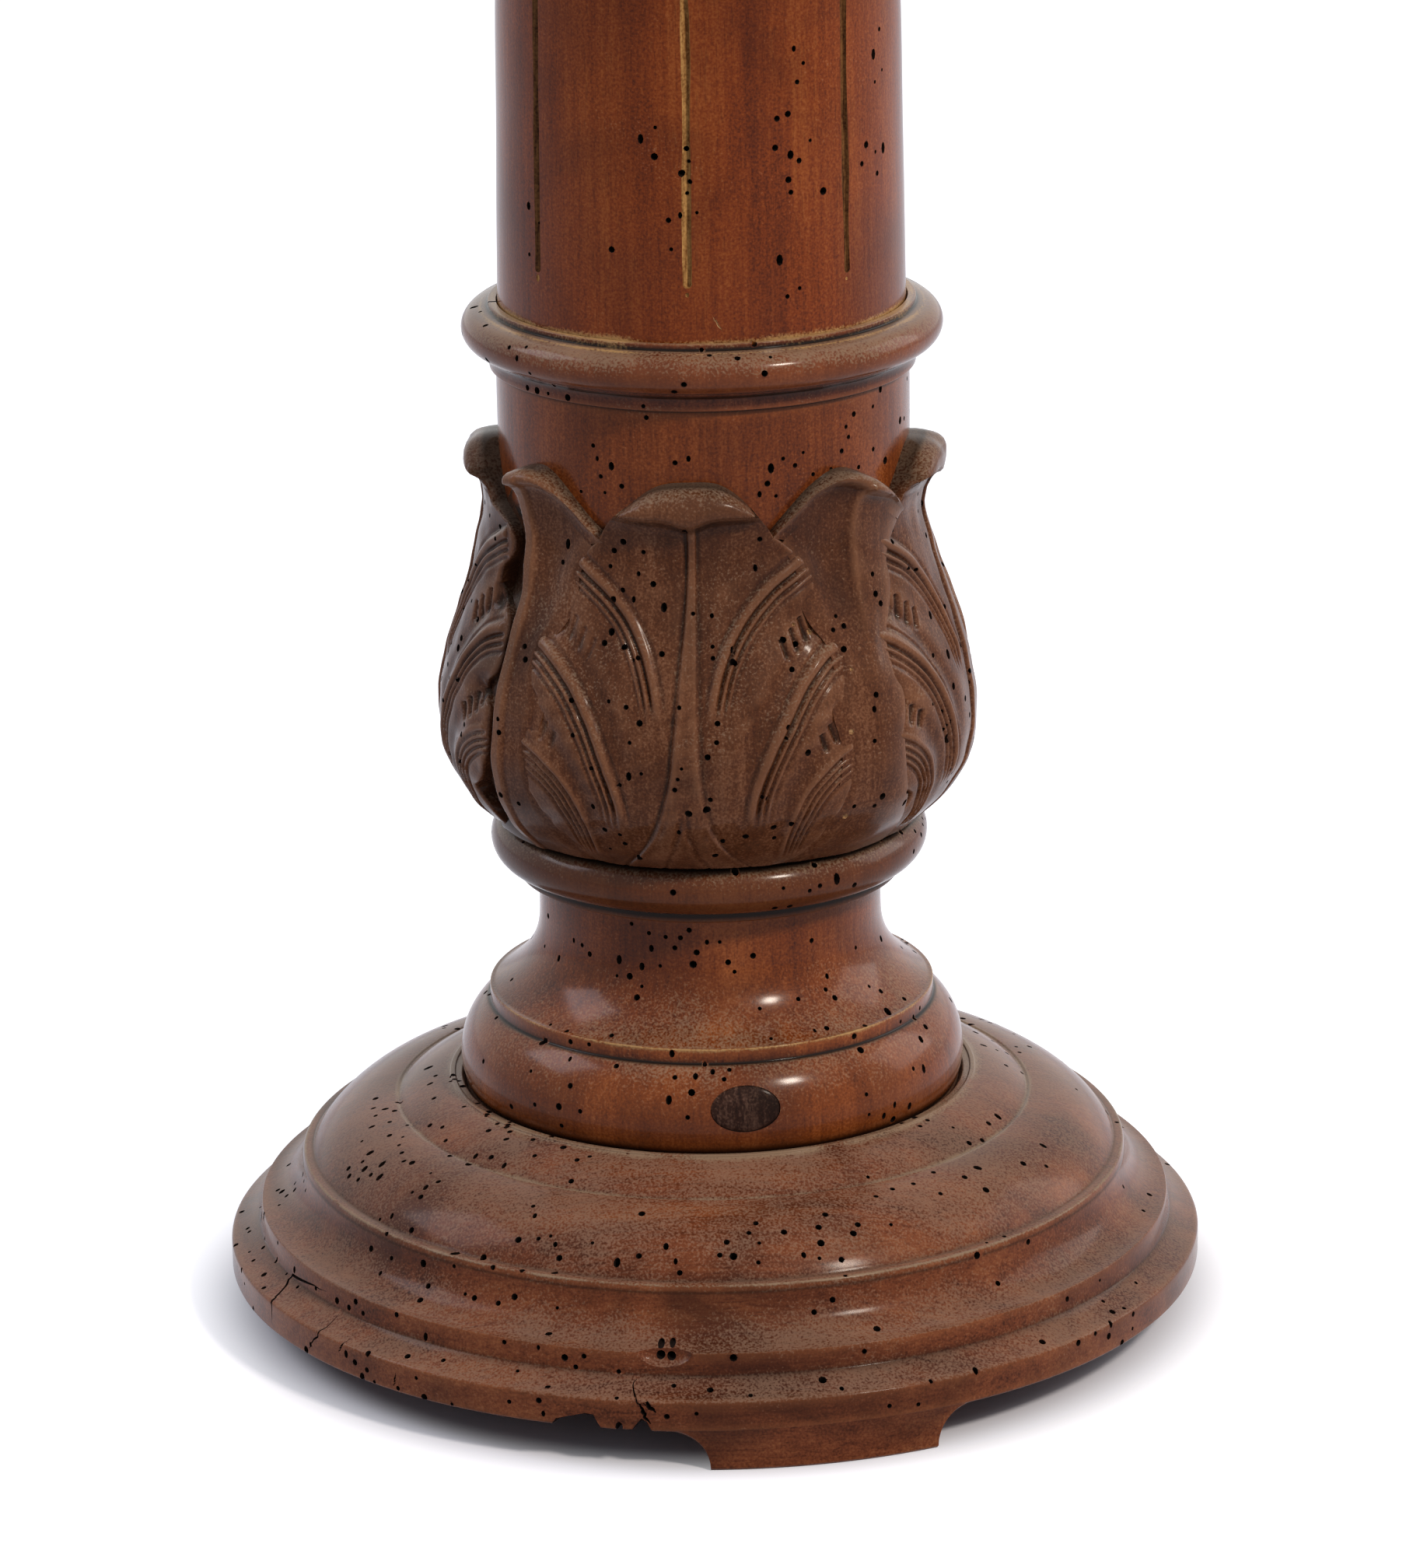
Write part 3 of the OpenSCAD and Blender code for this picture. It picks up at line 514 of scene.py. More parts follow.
def walnut(name, axis, colours, dust, share, crumb, rough, shine, streaks, worn=0.45, grime_and_shade_share=1.0, blots=0.75,
           film=0.0, polish=0.22, full=0.7):
    """Old shellacked walnut: broad figure, fibres and pores along one axis, stains, grime and painted shade
    in the hollows, polish worn through and painted highlight on the arrises and ridges, dust where the
    surface looks up, pale dust packed in the joints, and a polish that shines most where the eye meets it at
    a slant.
    The smaller full is, the sharper the dust breaks up. The pores and specks are drawn at 0.55 and 0.75 mm,
    twice as coarse as real, so that they show."""
    material, tree = bare_material(name)
    dark, mid, light = colours
    figure = grain(tree, 17, 170, axis, 3, 0.5)
    fibre = grain(tree, 1.5, 46, axis, 4, 0.2)
    pore = grain(tree, 0.55, 6, axis, 2)
    stain = grain(tree, 40, 56, axis, 4, 0.8)
    speck = grain(tree, 0.75, 0.75, axis, 3)
    drift = grain(tree, 24, 24, axis, 4, 0.5)
    grime_and_shade, wear_and_highlight, packed = [add(tree, "ShaderNodeAttribute", output="Fac", attribute_name=key)
                           for key in ("grime_and_shade", "wear_and_highlight", "packed")]
    normal = add(tree, "ShaderNodeNewGeometry", output="Normal")
    up = add(tree, "ShaderNodeSeparateXYZ", {0: normal}, "Z")

    # A noise runs about 0.5, and the start of each sum sets how much of the pattern shows
    even = 0.44 * (1 - streaks) - 0.1
    tone = strength(tree, even, (figure, 0.55 * streaks), (fibre, 0.35 * streaks), (speck, 0.4))
    wood = ramp(tree, tone, (0.36, dark), (0.54, mid), (0.74, light))
    open_pore = ramp(tree, pore, (0.34, 0.5 * streaks), (0.42, 0.0))
    blot = ramp(tree, stain, (0.46, 0.0), (0.68, blots))
    # Painted highlight: what is marked as worn is mixed towards the light colour, as wear and as highlight on
    # arrises and ridges
    wear_and_highlight_cover = strength(tree, 0.0, (wear_and_highlight, worn))
    looks_up = strength(tree, film - 2.25, (up, 0.8), (drift, 1.2), (speck, 2.4), (grime_and_shade, 0.3), (wear_and_highlight, 0.1))
    lying = ramp(tree, looks_up, (0.05, 0.0), (full, share))
    # Painted shade: what is marked as grime is mixed towards near-black, as grime and as the shade in hollows
    # and under overhangs
    grime_and_shade_cover = ramp(tree, strength(tree, -0.6, (grime_and_shade, 1.2), (drift, 0.9)), (0.1, 0.35), (0.8, 1.0))
    grime_and_shade_cover = strength(tree, 0.0, (strength(tree, 0.0, (grime_and_shade, grime_and_shade_cover)), grime_and_shade_share))
    heap = ramp(tree, strength(tree, -1.75, (packed, 0.9), (speck, 1.3), (drift, 1.8)),
                (0.3, 0.0), (0.8, 0.9))
    heap = strength(tree, 0.0, (heap, packed))
    for cover, colour in ((open_pore, dark), (blot, dark), (wear_and_highlight_cover, light), (lying, dust), (grime_and_shade_cover, GRIME_AND_SHADE_COLOUR),
                          (heap, crumb)):
        wood = add(tree, "ShaderNodeMix", {0: cover, 6: wood, 7: colour}, 2, data_type="RGBA")

    slant = add(tree, "ShaderNodeLayerWeight", {"Blend": 0.5}, "Facing")
    slant = add(tree, "ShaderNodeMath", {0: slant, 1: 2.1}, operation="POWER")
    height = strength(tree, 0.0, (pore, 0.05), (fibre, 0.06), (drift, 0.4), (speck, 0.1), (strength(
        tree, 0.0, (speck, lying)), 0.3), (heap, 0.3))
    shade(tree, {
        "Base Color": wood, "IOR": 1.46, "Specular IOR Level": 0.06, "Coat Roughness": 0.15,
        "Roughness": strength(tree, rough, (lying, 0.5), (drift, 0.26), (grime_and_shade, 0.3), (speck, 0.1)),
        "Coat Weight": strength(tree, polish, (slant, shine))}, 0.6, height)
    return material


def plain_wood(name, axis, dark, light, rough, wide=1.4, long=18):
    """Bare or dusty wood: two colours in fine fibres along one axis, and a dry surface."""
    material, tree = bare_material(name)
    speck = grain(tree, 0.8, 0.8, axis, 3)
    mixed = strength(tree, 0.0, (grain(tree, wide, long, axis, 4, 0.3), 0.6), (speck, 0.4))
    shade(tree, {
        "Base Color": ramp(tree, mixed, (0.38, dark), (0.62, light)),
        "Roughness": strength(tree, rough, (speck, 0.2)), "Specular IOR Level": 0.12}, 0.3, mixed)
    return material


# Shaft: walnut turned on the lathe and shellacked, red-brown and glossy, its grain upright
SHAFT_WOOD = walnut("shellacked_shaft_walnut", "Z", ("#361206", "#77350f", "#9a5726"), "#8d7864", 0.5,
                    "#b08d5c", 0.2, 1.0, 0.6, blots=0.45)
# Attic base, drum, capital and its collar: the same wood, darker from handling and dusty on top
RING_WOOD = walnut("shellacked_ring_walnut", "Z", ("#351409", "#713613", "#9b592d"), "#8d7862", 0.6,
                   "#b08d5c", 0.12, 0.95, 0.65, blots=0.45)
# Lower collar: the same wood with darker colours, painted shade for its place under the bulb's overhang
SHADED_RING_WOOD = walnut("shaded_ring_walnut", "Z", ("#2a110a", "#542912", "#6d3f21"), "#8d7862", 0.7, "#b08d5c",
                     0.15, 0.9, 0.65, blots=0.6)
# Shaft collar: the same again, with grainy dust on its shoulder
DUSTY_WOOD = walnut("dusty_ring_walnut", "Z", ("#2e110a", "#63301a", "#8a4f2c"), "#86705a", 0.66, "#b08d5c",
                    0.15, 0.95, 0.65, blots=0.6, film=0.2, full=0.5)
# Boards of the base and the top: walnut laid flat, so its grain runs level, with a duller wax, which has worn
# off the top
BOARD_WOOD, TOP_WOOD = [
    walnut(name, "X", ("#34170c", "#6e3b23", "#915b39"), "#866c5a", 0.54, "#8a745e", rough, shine, 0.8,
           worn=0.25, grime_and_shade_share=0.6, blots=0.7, film=0.05, polish=polish, full=0.55)
    for name, rough, shine, polish in (("waxed_board_walnut", 0.2, 1.0, 0.08),
                                       ("worn_top_walnut", 0.6, 0.0, 0.0))]
# Bulb: walnut cut with gouges and stained deep brown, its waxed high places polished by hands and lighter, as
# wear and painted highlight
CARVED_WOOD = walnut("carved_stained_walnut", "Z", ("#28120a", "#55301b", "#8a6045"), "#857462", 0.62,
                     "#8c7c68", 0.2, 0.75, 0.5, worn=0.4, grime_and_shade_share=0.75, blots=0.7, polish=0.13, full=0.62)
# Oval patch: a plug of darker wood with its grain upright
PATCH_WOOD = walnut("patch_end_grain", "Z", ("#1a0d09", "#40281f", "#8a6858"), "#6b5546", 0.3, "#6b5546",
                    0.4, 0.1, 1.5, polish=0.05)
# Inside of worm holes, cracks, bores and broken chips: near-black wood, painted shade, with packed bore dust
BORE_SHADE_AND_DUST = plain_wood("worm_bore_wood", "Z", "#070302", "#180c07", 0.85)
# Small fresh chips: bare walnut, pale and dry
RAW_WOOD = plain_wood("broken_raw_walnut", "Z", "#8c6a48", "#c09c70", 0.8)
# Front groove of the shaft: old polish and packed tan dust
GROOVE_DUST = plain_wood("packed_groove_dust", "Z", "#6d4623", "#b48a52", 0.85, 1.2, 9)
# The other grooves: dark polish with a little dust
DARK_GROOVE = plain_wood("stained_groove_wood", "Z", "#331a0c", "#7a5430", 0.7, 1.2, 9)
# Dowels and wedge: beech off the saw, pale with short flecks
BEECH = plain_wood("bare_beech", "Z", "#9a7850", "#c3a378", 0.62, 0.9, 12)


def old_steel():
    """Screws: turned steel gone grey, with a fine scratch pattern and brown spots of rust."""
    material, tree = bare_material("dull_screw_steel")
    spots = grain(tree, 1.4, 1.4, "Z", 4)
    scratch = grain(tree, 0.3, 3, "X", 2)
    mixed = strength(tree, 0.0, (spots, 0.8), (scratch, 0.2))
    shade(tree, {
        "Base Color": ramp(tree, mixed, (0.4, "#7d766c"), (0.56, "#8d867a"), (0.66, "#5f3a22")),
        "Metallic": ramp(tree, spots, (0.5, 1.0), (0.66, 0.2)),
        "Roughness": strength(tree, 0.12, (spots, 0.5), (scratch, 0.15))}, 0.15, spots)
    return material


for nodes, material in ((("base_screws", "top_screws"), old_steel()),
                        (("tenon_wedge", "neck_dowel", "shaft_dowel", "capital_dowel"), BEECH)):
    for node in nodes:
        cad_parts[node].data.materials.clear()
        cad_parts[node].data.materials.append(material)


# Base: two flat boards, moulded

def screw_bores(circle, turn, count, low, high):
    """Countersunk bores round the axis: at each place a cone under the head and a round bore above it."""
    t = once_round(20)
    sections = [(SCREW_HEAD_BORE + 0.4, low - 0.4), (SCREW_BORE, low + 2.4), (SCREW_BORE, high)]
    bodies = []
    for k in range(count):
        a = math.radians(turn + k * 360 / count)
        rings = [np.stack([circle * math.sin(a) + r * np.cos(t), -circle * math.cos(a) + r * np.sin(t),
                           z + 0 * t], 1) for r, z in sections]
        bodies.append(strip("bore", rings, BORE_SHADE_AND_DUST))
    return several("bores", bodies, BORE_SHADE_AND_DUST)


def foot(turn):
    """A foot under the rim: at each distance x from its middle a section between radii, whose under side is
    on the floor within the foot's width and then rises on a hollow quarter circle of the foot's height."""
    width = BASE_R * math.sin(math.radians(FOOT_HALF_ANGLE))
    inner = BASE_R - 24
    hollow = np.sin(np.linspace(0, math.pi / 2, 14)) ** 2
    x = np.concatenate([-(width + RIM_FOOT * hollow[::-1]), np.linspace(-width, width, 34)[1:-1],
                        width + RIM_FOOT * hollow])
    rise = np.clip(RIM_FOOT ** 2 - (width + RIM_FOOT - np.abs(x)) ** 2, 0, None)
    low = np.sqrt(rise) * (np.abs(x) > width)
    low = np.minimum(low, RIM_FOOT + 0.6)
    a = math.radians(turn) + np.arcsin(x / BASE_R)
    corners = [(inner, 0), (BASE_R - 0.9, 0), (BASE_R - 0.25, 0.7), (BASE_R - 0.12, 0), (inner, 0)]
    tops = [0, 0, 0, RIM_FOOT + 1.4, RIM_FOOT + 1.4]
    sections = np.stack([around(r, a, (low + lift) if top == 0 else 0 * low + top)
                         for (r, lift), top in zip(corners, tops)], 1)
    return strip("foot", sections, BOARD_WOOD)


rim_top, step_foot = RIM_FOOT + 9.6, RIM_FOOT + 14.1
plinth_outline = joined(
    [(TENON_BORE, RIM_FOOT), (149.4, RIM_FOOT), (BASE_R, RIM_FOOT + 0.6), (BASE_R, rim_top - 0.6)],
    arc((149.4, rim_top), (141, step_foot), -0.5, 5), [(140.2, PLINTH_TOP), (TENON_BORE, PLINTH_TOP)])
base_plinth = turned("plinth_board", plinth_outline, BOARD_WOOD)
for k in range(3):
    carve(base_plinth, foot(FOOT_TURN + 120 * k), "UNION")

cove_top, cushion_foot, groove = PLINTH_TOP + 13.6, PLINTH_TOP + 15.7, PLINTH_TOP + 31.6
moulding_outline = joined(
    [(TENON_BORE, PLINTH_TOP)], arc((140.2, PLINTH_TOP), (127.2, cove_top), -3.7),
    [(126.8, cushion_foot - 0.4), (126.4, cushion_foot)],
    arc((123.8, cushion_foot + 0.2), (97.8, groove), 3.6, 18),
    arc((97.1, groove - 0.4), (81, LIPS_TOP - 0.6), 1.1, 10),
    [(81, LIPS_TOP), (79.6, LIPS_TOP), (79.4, LIPS_TOP - 0.6), (77.4, LIPS_TOP - 0.6), (76.6, SEAT + 0.9),
     (76.2, SEAT), (TENON_BORE, SEAT)])
# Dark marks with painted shade in the groove, at the foot of the cove and in the seat
base_moulding = turned(
    "moulded_board", moulding_outline, BOARD_WOOD, corner=0.35,
    packed=[(79.6, LIPS_TOP - 0.6, 4.6), (97.5, groove, 1.6), (126.6, cushion_foot, 1.0)],
    grimy=[(98.4, groove - 1.6, 1.2), (127.2, cove_top, 0.9), (76.4, SEAT, 1.0)])
for piece in (base_plinth, base_moulding):
    carve(piece, screw_bores(SCREW_CIRCLE, FOOT_TURN + 30, 6, RIM_FOOT, RIM_FOOT + 34.8))


def broken(way, inner, outer):
    """A piece knocked off an edge: at each (angle, lower, upper height) a triangle from outside the edge to
    a point that lies in the wood."""
    a, low, high = np.array(way, float).T
    a = np.radians(a)
    return strip("broken", np.stack([around(outer, a, low), around(outer, a, high),
                                     around(inner, a, low)], 1), BORE_SHADE_AND_DUST)


RIM_CHIP = [(-19, 10, 12.2), (-18.3, 10, 14.8), (-16.7, 10, 16.2), (-14.9, 10, 17.6), (-14, 10, 17.3),
            (-13.4, 10, 14.2), (-13.1, 10, 12.8), (-11.4, 10, 12.6), (-9.6, 10, 13), (-8.9, 10, 15.6),
            (-8.5, 10, 17), (-7.9, 10, 15.8), (-7.3, 10, 12.4)]
# The broken chip is lined with the near-black bore material, painted shade under the broken edge
carve(base_plinth, broken(RIM_CHIP, 134, 152))


def scoop(angle, z, r, wide, high, deep, material):
    """A lens that hollows a face: rings square to the radius at a place, whose size follows the sine and
    whose depth the cosine of a half turn."""
    a = math.radians(angle)
    t = once_round(28)
    sections = []
    for turn in np.linspace(0.03, math.pi - 0.03, 13):
        x, at = wide * math.sin(turn) * np.cos(t), r - deep * math.cos(turn)
        sections.append(np.stack([x * math.cos(a) + at * math.sin(a), x * math.sin(a) - at * math.cos(a),
                                  z + high * math.sin(turn) * np.sin(t)], 1))
    return strip("scoop", sections, material)


# The edge over the step, broken where four worm holes meet
for piece in (base_plinth, base_moulding):
    carve(piece, scoop(-6.2, 33.4, 142, 9, 5, 4.6, BOARD_WOOD))
    carve(piece, several("holes", [scoop(a, z, 140, 1.4, 1.3, 7, BORE_SHADE_AND_DUST) for a, z in
                                   ((-6.8, 34.4), (-5.4, 34.6), (-6.75, 31.5), (-5.45, 31.3))], BORE_SHADE_AND_DUST))
# Cracks as (places, width, depth), lined near-black as painted shade
CRACKS = [([(-7.7, 14.6), (-8.3, 19), (-9, 21.7), (-9.7, 24.2), (-9.3, 26)], 0.7, 2.5),
          ([(-7.6, 14.8), (-8.1, 18), (-8.8, 21)], 1.5, 3),
          ([(-8.3, 21.4), (-7.6, 20.3), (-6.8, 18.2)], 1.7, 3),
          ([(-63.4, 15), (-63.6, 21.3), (-65.6, 26.5), (-61, 28.4), (-56.1, 29.4)], 1.3, 3),
          ([(-54.6, 14), (-53.4, 18), (-52.2, 21.5), (-52.6, 26.5)], 0.8, 2.5),
          ([(-48.6, 18.4), (-47.6, 22.8)], 0.8, 2), ([(-39.6, 14), (-39.2, 18.5)], 0.8, 2)]
for spots, width, depth in CRACKS:
    carve(base_plinth, crack(plinth_outline, True, spots, width, depth, BORE_SHADE_AND_DUST))
RIM_HOLES = [(-24, 24.7), (-18.4, 29.6), (-16, 30.7), (-17, 27.2), (-11.7, 26.9), (-11.3, 22.1),
             (-19.6, 22.8), (-20.3, 19.2), (-23.9, 17.6), (-19.8, 15.4), (2, 31.6), (-21.8, 31.6),
             (-26.3, 31.6)]
riddle(base_plinth, plinth_outline, True, 170, 11, 12.8, 32, 100,
       [(a, z, 1, 0, 0) for a, z in RIM_HOLES]
       + [(-50, 28, 6, 4, 1.5), (-68, 22, 5, 3, 3), (170, 22, 12, 8, 4), (110, 24, 9, 5, 4)])
riddle(base_moulding, moulding_outline, True, 300, 12, 34, 72, 78,
       [(-62, 58, 14, 4, 2), (-52, 62, 10, 7, 3), (-70, 64, 12, 8, 2), (-26, 57, 5, 1.2, 1), (2, 55, 8, 4, 3),
        (13, 54, 6, 2, 1.5), (22, 58, 4, 3, 2), (-32, 40, 7, 5, 1.5), (28, 66, 4, 2, 2), (60, 62, 8, 5, 4),
        (150, 60, 16, 12, 5), (200, 50, 12, 9, 5)])
finish_piece(base_plinth, "base_plinth")
finish_piece(base_moulding, "base_moulding")


# Turned stack above the boards

def dowel_bore(z, depth):
    """The wall and blind end of a dowel's bore, from a face at height z inwards. A minus depth goes down."""
    return [(DOWEL_BORE, z), (DOWEL_BORE, z + depth), (0, z + depth)]


band_foot, scotia_foot, neck_foot = SEAT + 26.6, SEAT + 31.5, NECK_TOP - 11.5
torus_line = arc((75.6, SEAT + 0.6), (69.2, band_foot), 4.5, 24)
scotia_t = np.linspace(0, 1, 16)[:, None]
attic_outline = joined(
    [(0, TENON_FOOT), (TENON_R, TENON_FOOT), (TENON_R, SEAT), (75, SEAT)], torus_line,
    [(68.1, band_foot + 0.4), (68.1, scotia_foot)],
    np.hstack([52.2 + 14.5 * (1 - scotia_t) ** 2.6, scotia_foot + (neck_foot - scotia_foot) * scotia_t]),
    [(52.2, NECK_TOP)], dowel_bore(NECK_TOP, -26.8))

PATCH_RISE, PATCH_WIDE, PATCH_HIGH = SEAT + 15.1, 21.0, 13.4
PATCH_COS, PATCH_SIN = math.cos(math.radians(7.3)), math.sin(math.radians(7.3))
POCKET_FLOOR = 77.2 - 9


def oval_at(size, depth):
    """The oval in the plane square to its direction, size times as large, depth from the axis."""
    t = once_round(72)
    x, z = size * PATCH_WIDE / 2 * np.cos(t), PATCH_RISE + size * PATCH_HIGH / 2 * np.sin(t)
    return np.stack([x * PATCH_COS + depth * PATCH_SIN, x * PATCH_SIN - depth * PATCH_COS, z], 1)


OVAL_POCKET = strip("oval", [oval_at(1, POCKET_FLOOR), oval_at(1, 84)], BORE_SHADE_AND_DUST)
WEDGE_SLOT = strip("slot", [[(-3, y, TENON_FOOT - 1), (3, y, TENON_FOOT - 1), (1, y, TENON_FOOT + 30),
                             (-1, y, TENON_FOOT + 30)] for y in (-26, 26)], BORE_SHADE_AND_DUST)
# Painted shade: dark marks at the foot of the torus for its shadow, at the fillet over it and under the lower
# collar
lathe_work("attic_base_turning", "attic_base", attic_outline, RING_WOOD,
           (170, 13, SEAT + 3, NECK_TOP - 2, 50,
            [(-9, 130, 12, 8, 3), (-4, 124, 8, 12, 3), (-26, 120, 7, 3, 3), (34, 104, 7, 5, 4),
             (60, 98, 9, 6, 5), (-40, 100, 6, 6, 4), (180, 110, 14, 12, 8)]),
           [OVAL_POCKET, WEDGE_SLOT], closed=False, packed=[(68.4, scotia_foot, 1.1)],
           grimy=[(68.2, band_foot, 1.3), (75.6, SEAT + 0.6, 3.6), (52.2, NECK_TOP, 1.4)])

# The patch follows the torus a little below its face, and its rim is rounded
PATCH_SIZE = 0.985
patch_side = np.array([PATCH_COS, PATCH_SIN, 0])
patch_ahead = np.array([PATCH_SIN, -PATCH_COS, 0])
patch_rows = []
for size in np.linspace(0, 1, 9) ** 0.7 * PATCH_SIZE:
    flat = oval_at(size, 0)
    torus_r = np.interp(flat[:, 2], torus_line[:, 1], torus_line[:, 0])
    depth = np.sqrt(torus_r ** 2 - (flat @ patch_side) ** 2)
    rounding = 0.25 * max(0, (size - 0.9) / (PATCH_SIZE - 0.9))
    patch_rows.append(flat + patch_ahead * (depth - CLEARANCE - rounding)[:, None])
patch_rows += [oval_at(PATCH_SIZE, POCKET_FLOOR + 0.1), oval_at(0, POCKET_FLOOR + 0.1)]
patch_points = np.stack(patch_rows)
oval_patch = new_piece("oval_plug", patch_points,
                       grid_faces(*patch_points.shape[:2], wrap_columns=True).tolist(), PATCH_WOOD)
finish_piece(oval_patch, "oval_patch")

lower_outline = joined(
    [(DOWEL_BORE, NECK_TOP), (58.2, NECK_TOP), (58.6, NECK_TOP + 0.4), (58.6, NECK_TOP + 3.2)],
    arc((60.6, NECK_TOP + 3.4), (60.6, BULB_FOOT - 0.2), 6, 16),
    [(60.2, BULB_FOOT), (DOWEL_BORE, BULB_FOOT)])
# Painted shade: the lower collar gets the darker material and dark marks at its fillet and under the bulb's
# overhang
lathe_work("lower_collar_ring", "lower_collar", lower_outline, SHADED_RING_WOOD,
           (40, 14, NECK_TOP + 4, BULB_FOOT - 1, 55), corner=0.3, packed=[(60.8, BULB_FOOT, 1.2)],
           grimy=[(58.6, NECK_TOP + 2.4, 1.8), (62.4, BULB_FOOT - 0.5, 3.4)])

roll_foot, roll_top = COLLAR_TOP - 14.1, COLLAR_TOP - 2.1
collar_outline = joined(
    [(DOWEL_BORE, BULB_TOP), (63.8, BULB_TOP), (63.8, BULB_TOP + 1.8)],
    arc((63.8, BULB_TOP + 1.8), (66.2, roll_foot - 0.4), -0.7, 5),
    arc((66.2, roll_foot), (66.2, roll_top), 5.8, 16),
    [(63.9, roll_top + 0.4), (63.9, COLLAR_TOP), (61.4, COLLAR_TOP), (61.4, SHAFT_FOOT),
     (DOWEL_BORE, SHAFT_FOOT)])
# Dark marks with painted shade in the creases under and over the roll
lathe_work("shaft_collar_ring", "shaft_collar", collar_outline, DUSTY_WOOD,
           (46, 15, BULB_TOP + 1, COLLAR_TOP, 62), corner=0.3,
           packed=[(61.8, COLLAR_TOP, 3.0), (66.5, roll_top + 0.4, 1.4)],
           grimy=[(64.4, roll_foot - 1, 1.5), (64.2, roll_top + 0.6, 1.1)])

collar_ring_r, collar_ring_top = 54.0, CAP_FOOT - 3
cap_collar_outline = joined(
    [(DOWEL_BORE, SHAFT_TOP), (50.9, SHAFT_TOP), (50.9, CAP_COLLAR_FOOT), (collar_ring_r, CAP_COLLAR_FOOT),
     (collar_ring_r, CAP_COLLAR_FOOT + 3)],
    arc((collar_ring_r + 0.4, CAP_COLLAR_FOOT + 3), (collar_ring_r + 0.4, collar_ring_top), 7.6, 16),
    [(collar_ring_r, collar_ring_top), (collar_ring_r, CAP_FOOT), (DOWEL_BORE, CAP_FOOT)])
lathe_work("capital_collar_ring", "capital_collar", cap_collar_outline, RING_WOOD,
           (20, 16, CAP_COLLAR_FOOT + 1, CAP_FOOT - 1, 52), corner=0.3)


# Shaft with its eight grooves

SHAFT_R, SHAFT_TOP_R = 61.1, 50.6


def shaft_r(z):
    """Radius of the shaft at a height."""
    return SHAFT_R + (SHAFT_TOP_R - SHAFT_R) * (z - SHAFT_FOOT) / (SHAFT_TOP - SHAFT_FOOT)


shaft_outline = joined(
    dowel_bore(SHAFT_FOOT, DOWEL_DEPTH)[::-1], [(SHAFT_R, SHAFT_FOOT)],
    [(shaft_r(z), z)
     for z in (SHAFT_FOOT + 3, SHAFT_FOOT + 8, SHAFT_FOOT + 26, SHAFT_TOP - 26, SHAFT_TOP - 8)],
    [(SHAFT_TOP_R, SHAFT_TOP)], dowel_bore(SHAFT_TOP, -DOWEL_DEPTH))

# Three grooves are placed one by one and the rest are spread evenly
FRONT_GROOVE, RIGHT_GROOVE = -4, 44.2
rest_step = (360 - 2 * (RIGHT_GROOVE - FRONT_GROOVE)) / 6
other_grooves = [RIGHT_GROOVE + rest_step * k for k in range(7)]


def groove_cutter(turn, seed, material):
    """A groove up the shaft: sections that stand proud of the face and narrow to a foot, which lies nearer
    the right wall. The width follows a half circle at both ends and wavers a little on the way."""
    rng = np.random.default_rng(seed)
    low, high, wide, deep = SHAFT_FOOT + 19, SHAFT_TOP - 17, 2.9, 1.25
    ends = 1.2 * (1 - np.cos(np.linspace(0.25, math.pi / 2, 6)))
    z = np.concatenate([low + ends, np.linspace(low + 1.6, high - 1.6, 90), high - ends[::-1]])
    near_end = np.minimum(z - low, high - z)
    share = np.sqrt(np.clip(1 - (1 - near_end / 1.2) ** 2, 0, 1) * (near_end < 1.2) + (near_end >= 1.2))
    wander = 0.12 * waves(z, 0 * z, seed, 60)
    half = share * wide / 2 * (1 + 0.09 * waves(z, 0 * z, seed + 1, 22) + rng.normal(0, 0.02, len(z)))
    a = math.radians(turn)
    corner = []
    for side, rise in ((-1.5, 1.0), (1.2, 1.0), (0.75, -deep), (0.15, -deep)):
        r = shaft_r(z) + np.where(rise > 0, rise, rise * (0.55 + 0.45 * share))
        corner.append(around(r, a + (wander + side * half) / r, z))
    return strip("groove", np.stack(corner, 1), material)


# Crumbs of dust lie under the ends of the front grooves, and a fresh scratch over the collar
groove_ends = [(-4, SHAFT_FOOT + 17.2), (44.2, SHAFT_FOOT + 17.4), (-52, SHAFT_FOOT + 17.4)]
SHAFT_CUTS = [
    groove_cutter(FRONT_GROOVE, 30, GROOVE_DUST),
    several("grooves", [groove_cutter(turn, seed, DARK_GROOVE)
                        for seed, turn in enumerate(other_grooves, 31)], DARK_GROOVE),
    borings(*on_surface(shaft_outline, False, groove_ends), 7, GROOVE_DUST, deep=(0.25, 0.4)),
    crack(shaft_outline, False, [(2.6, 324), (4.2, 321.2), (5.6, 318.6)], 1.5, 0.5, RAW_WOOD)]
lathe_work("shaft_turning", "shaft", shaft_outline, SHAFT_WOOD,
           (190, 17, COLLAR_TOP + 4, SHAFT_TOP - 6, 45,
            [(28, 396, 8, 1.6, 9), (26, 368, 5, 2, 8), (60, 392, 5, 3, 8), (55, 368, 5, 4, 7),
             (-3.6, 364, 6, 1, 5), (-5, 345, 7, 3, 10), (-12, 380, 4, 2, 4), (-55, 345, 5, 2, 8),
             (24, 330, 4, 2, 5), (178, 500, 12, 8, 30), (-120, 600, 10, 6, 25)]),
           SHAFT_CUTS, closed=False, step=1.6, sway=0.16, packed=[(61, COLLAR_TOP, 1.6)])


# Capital and round top, with fewer points than the pieces in the photo

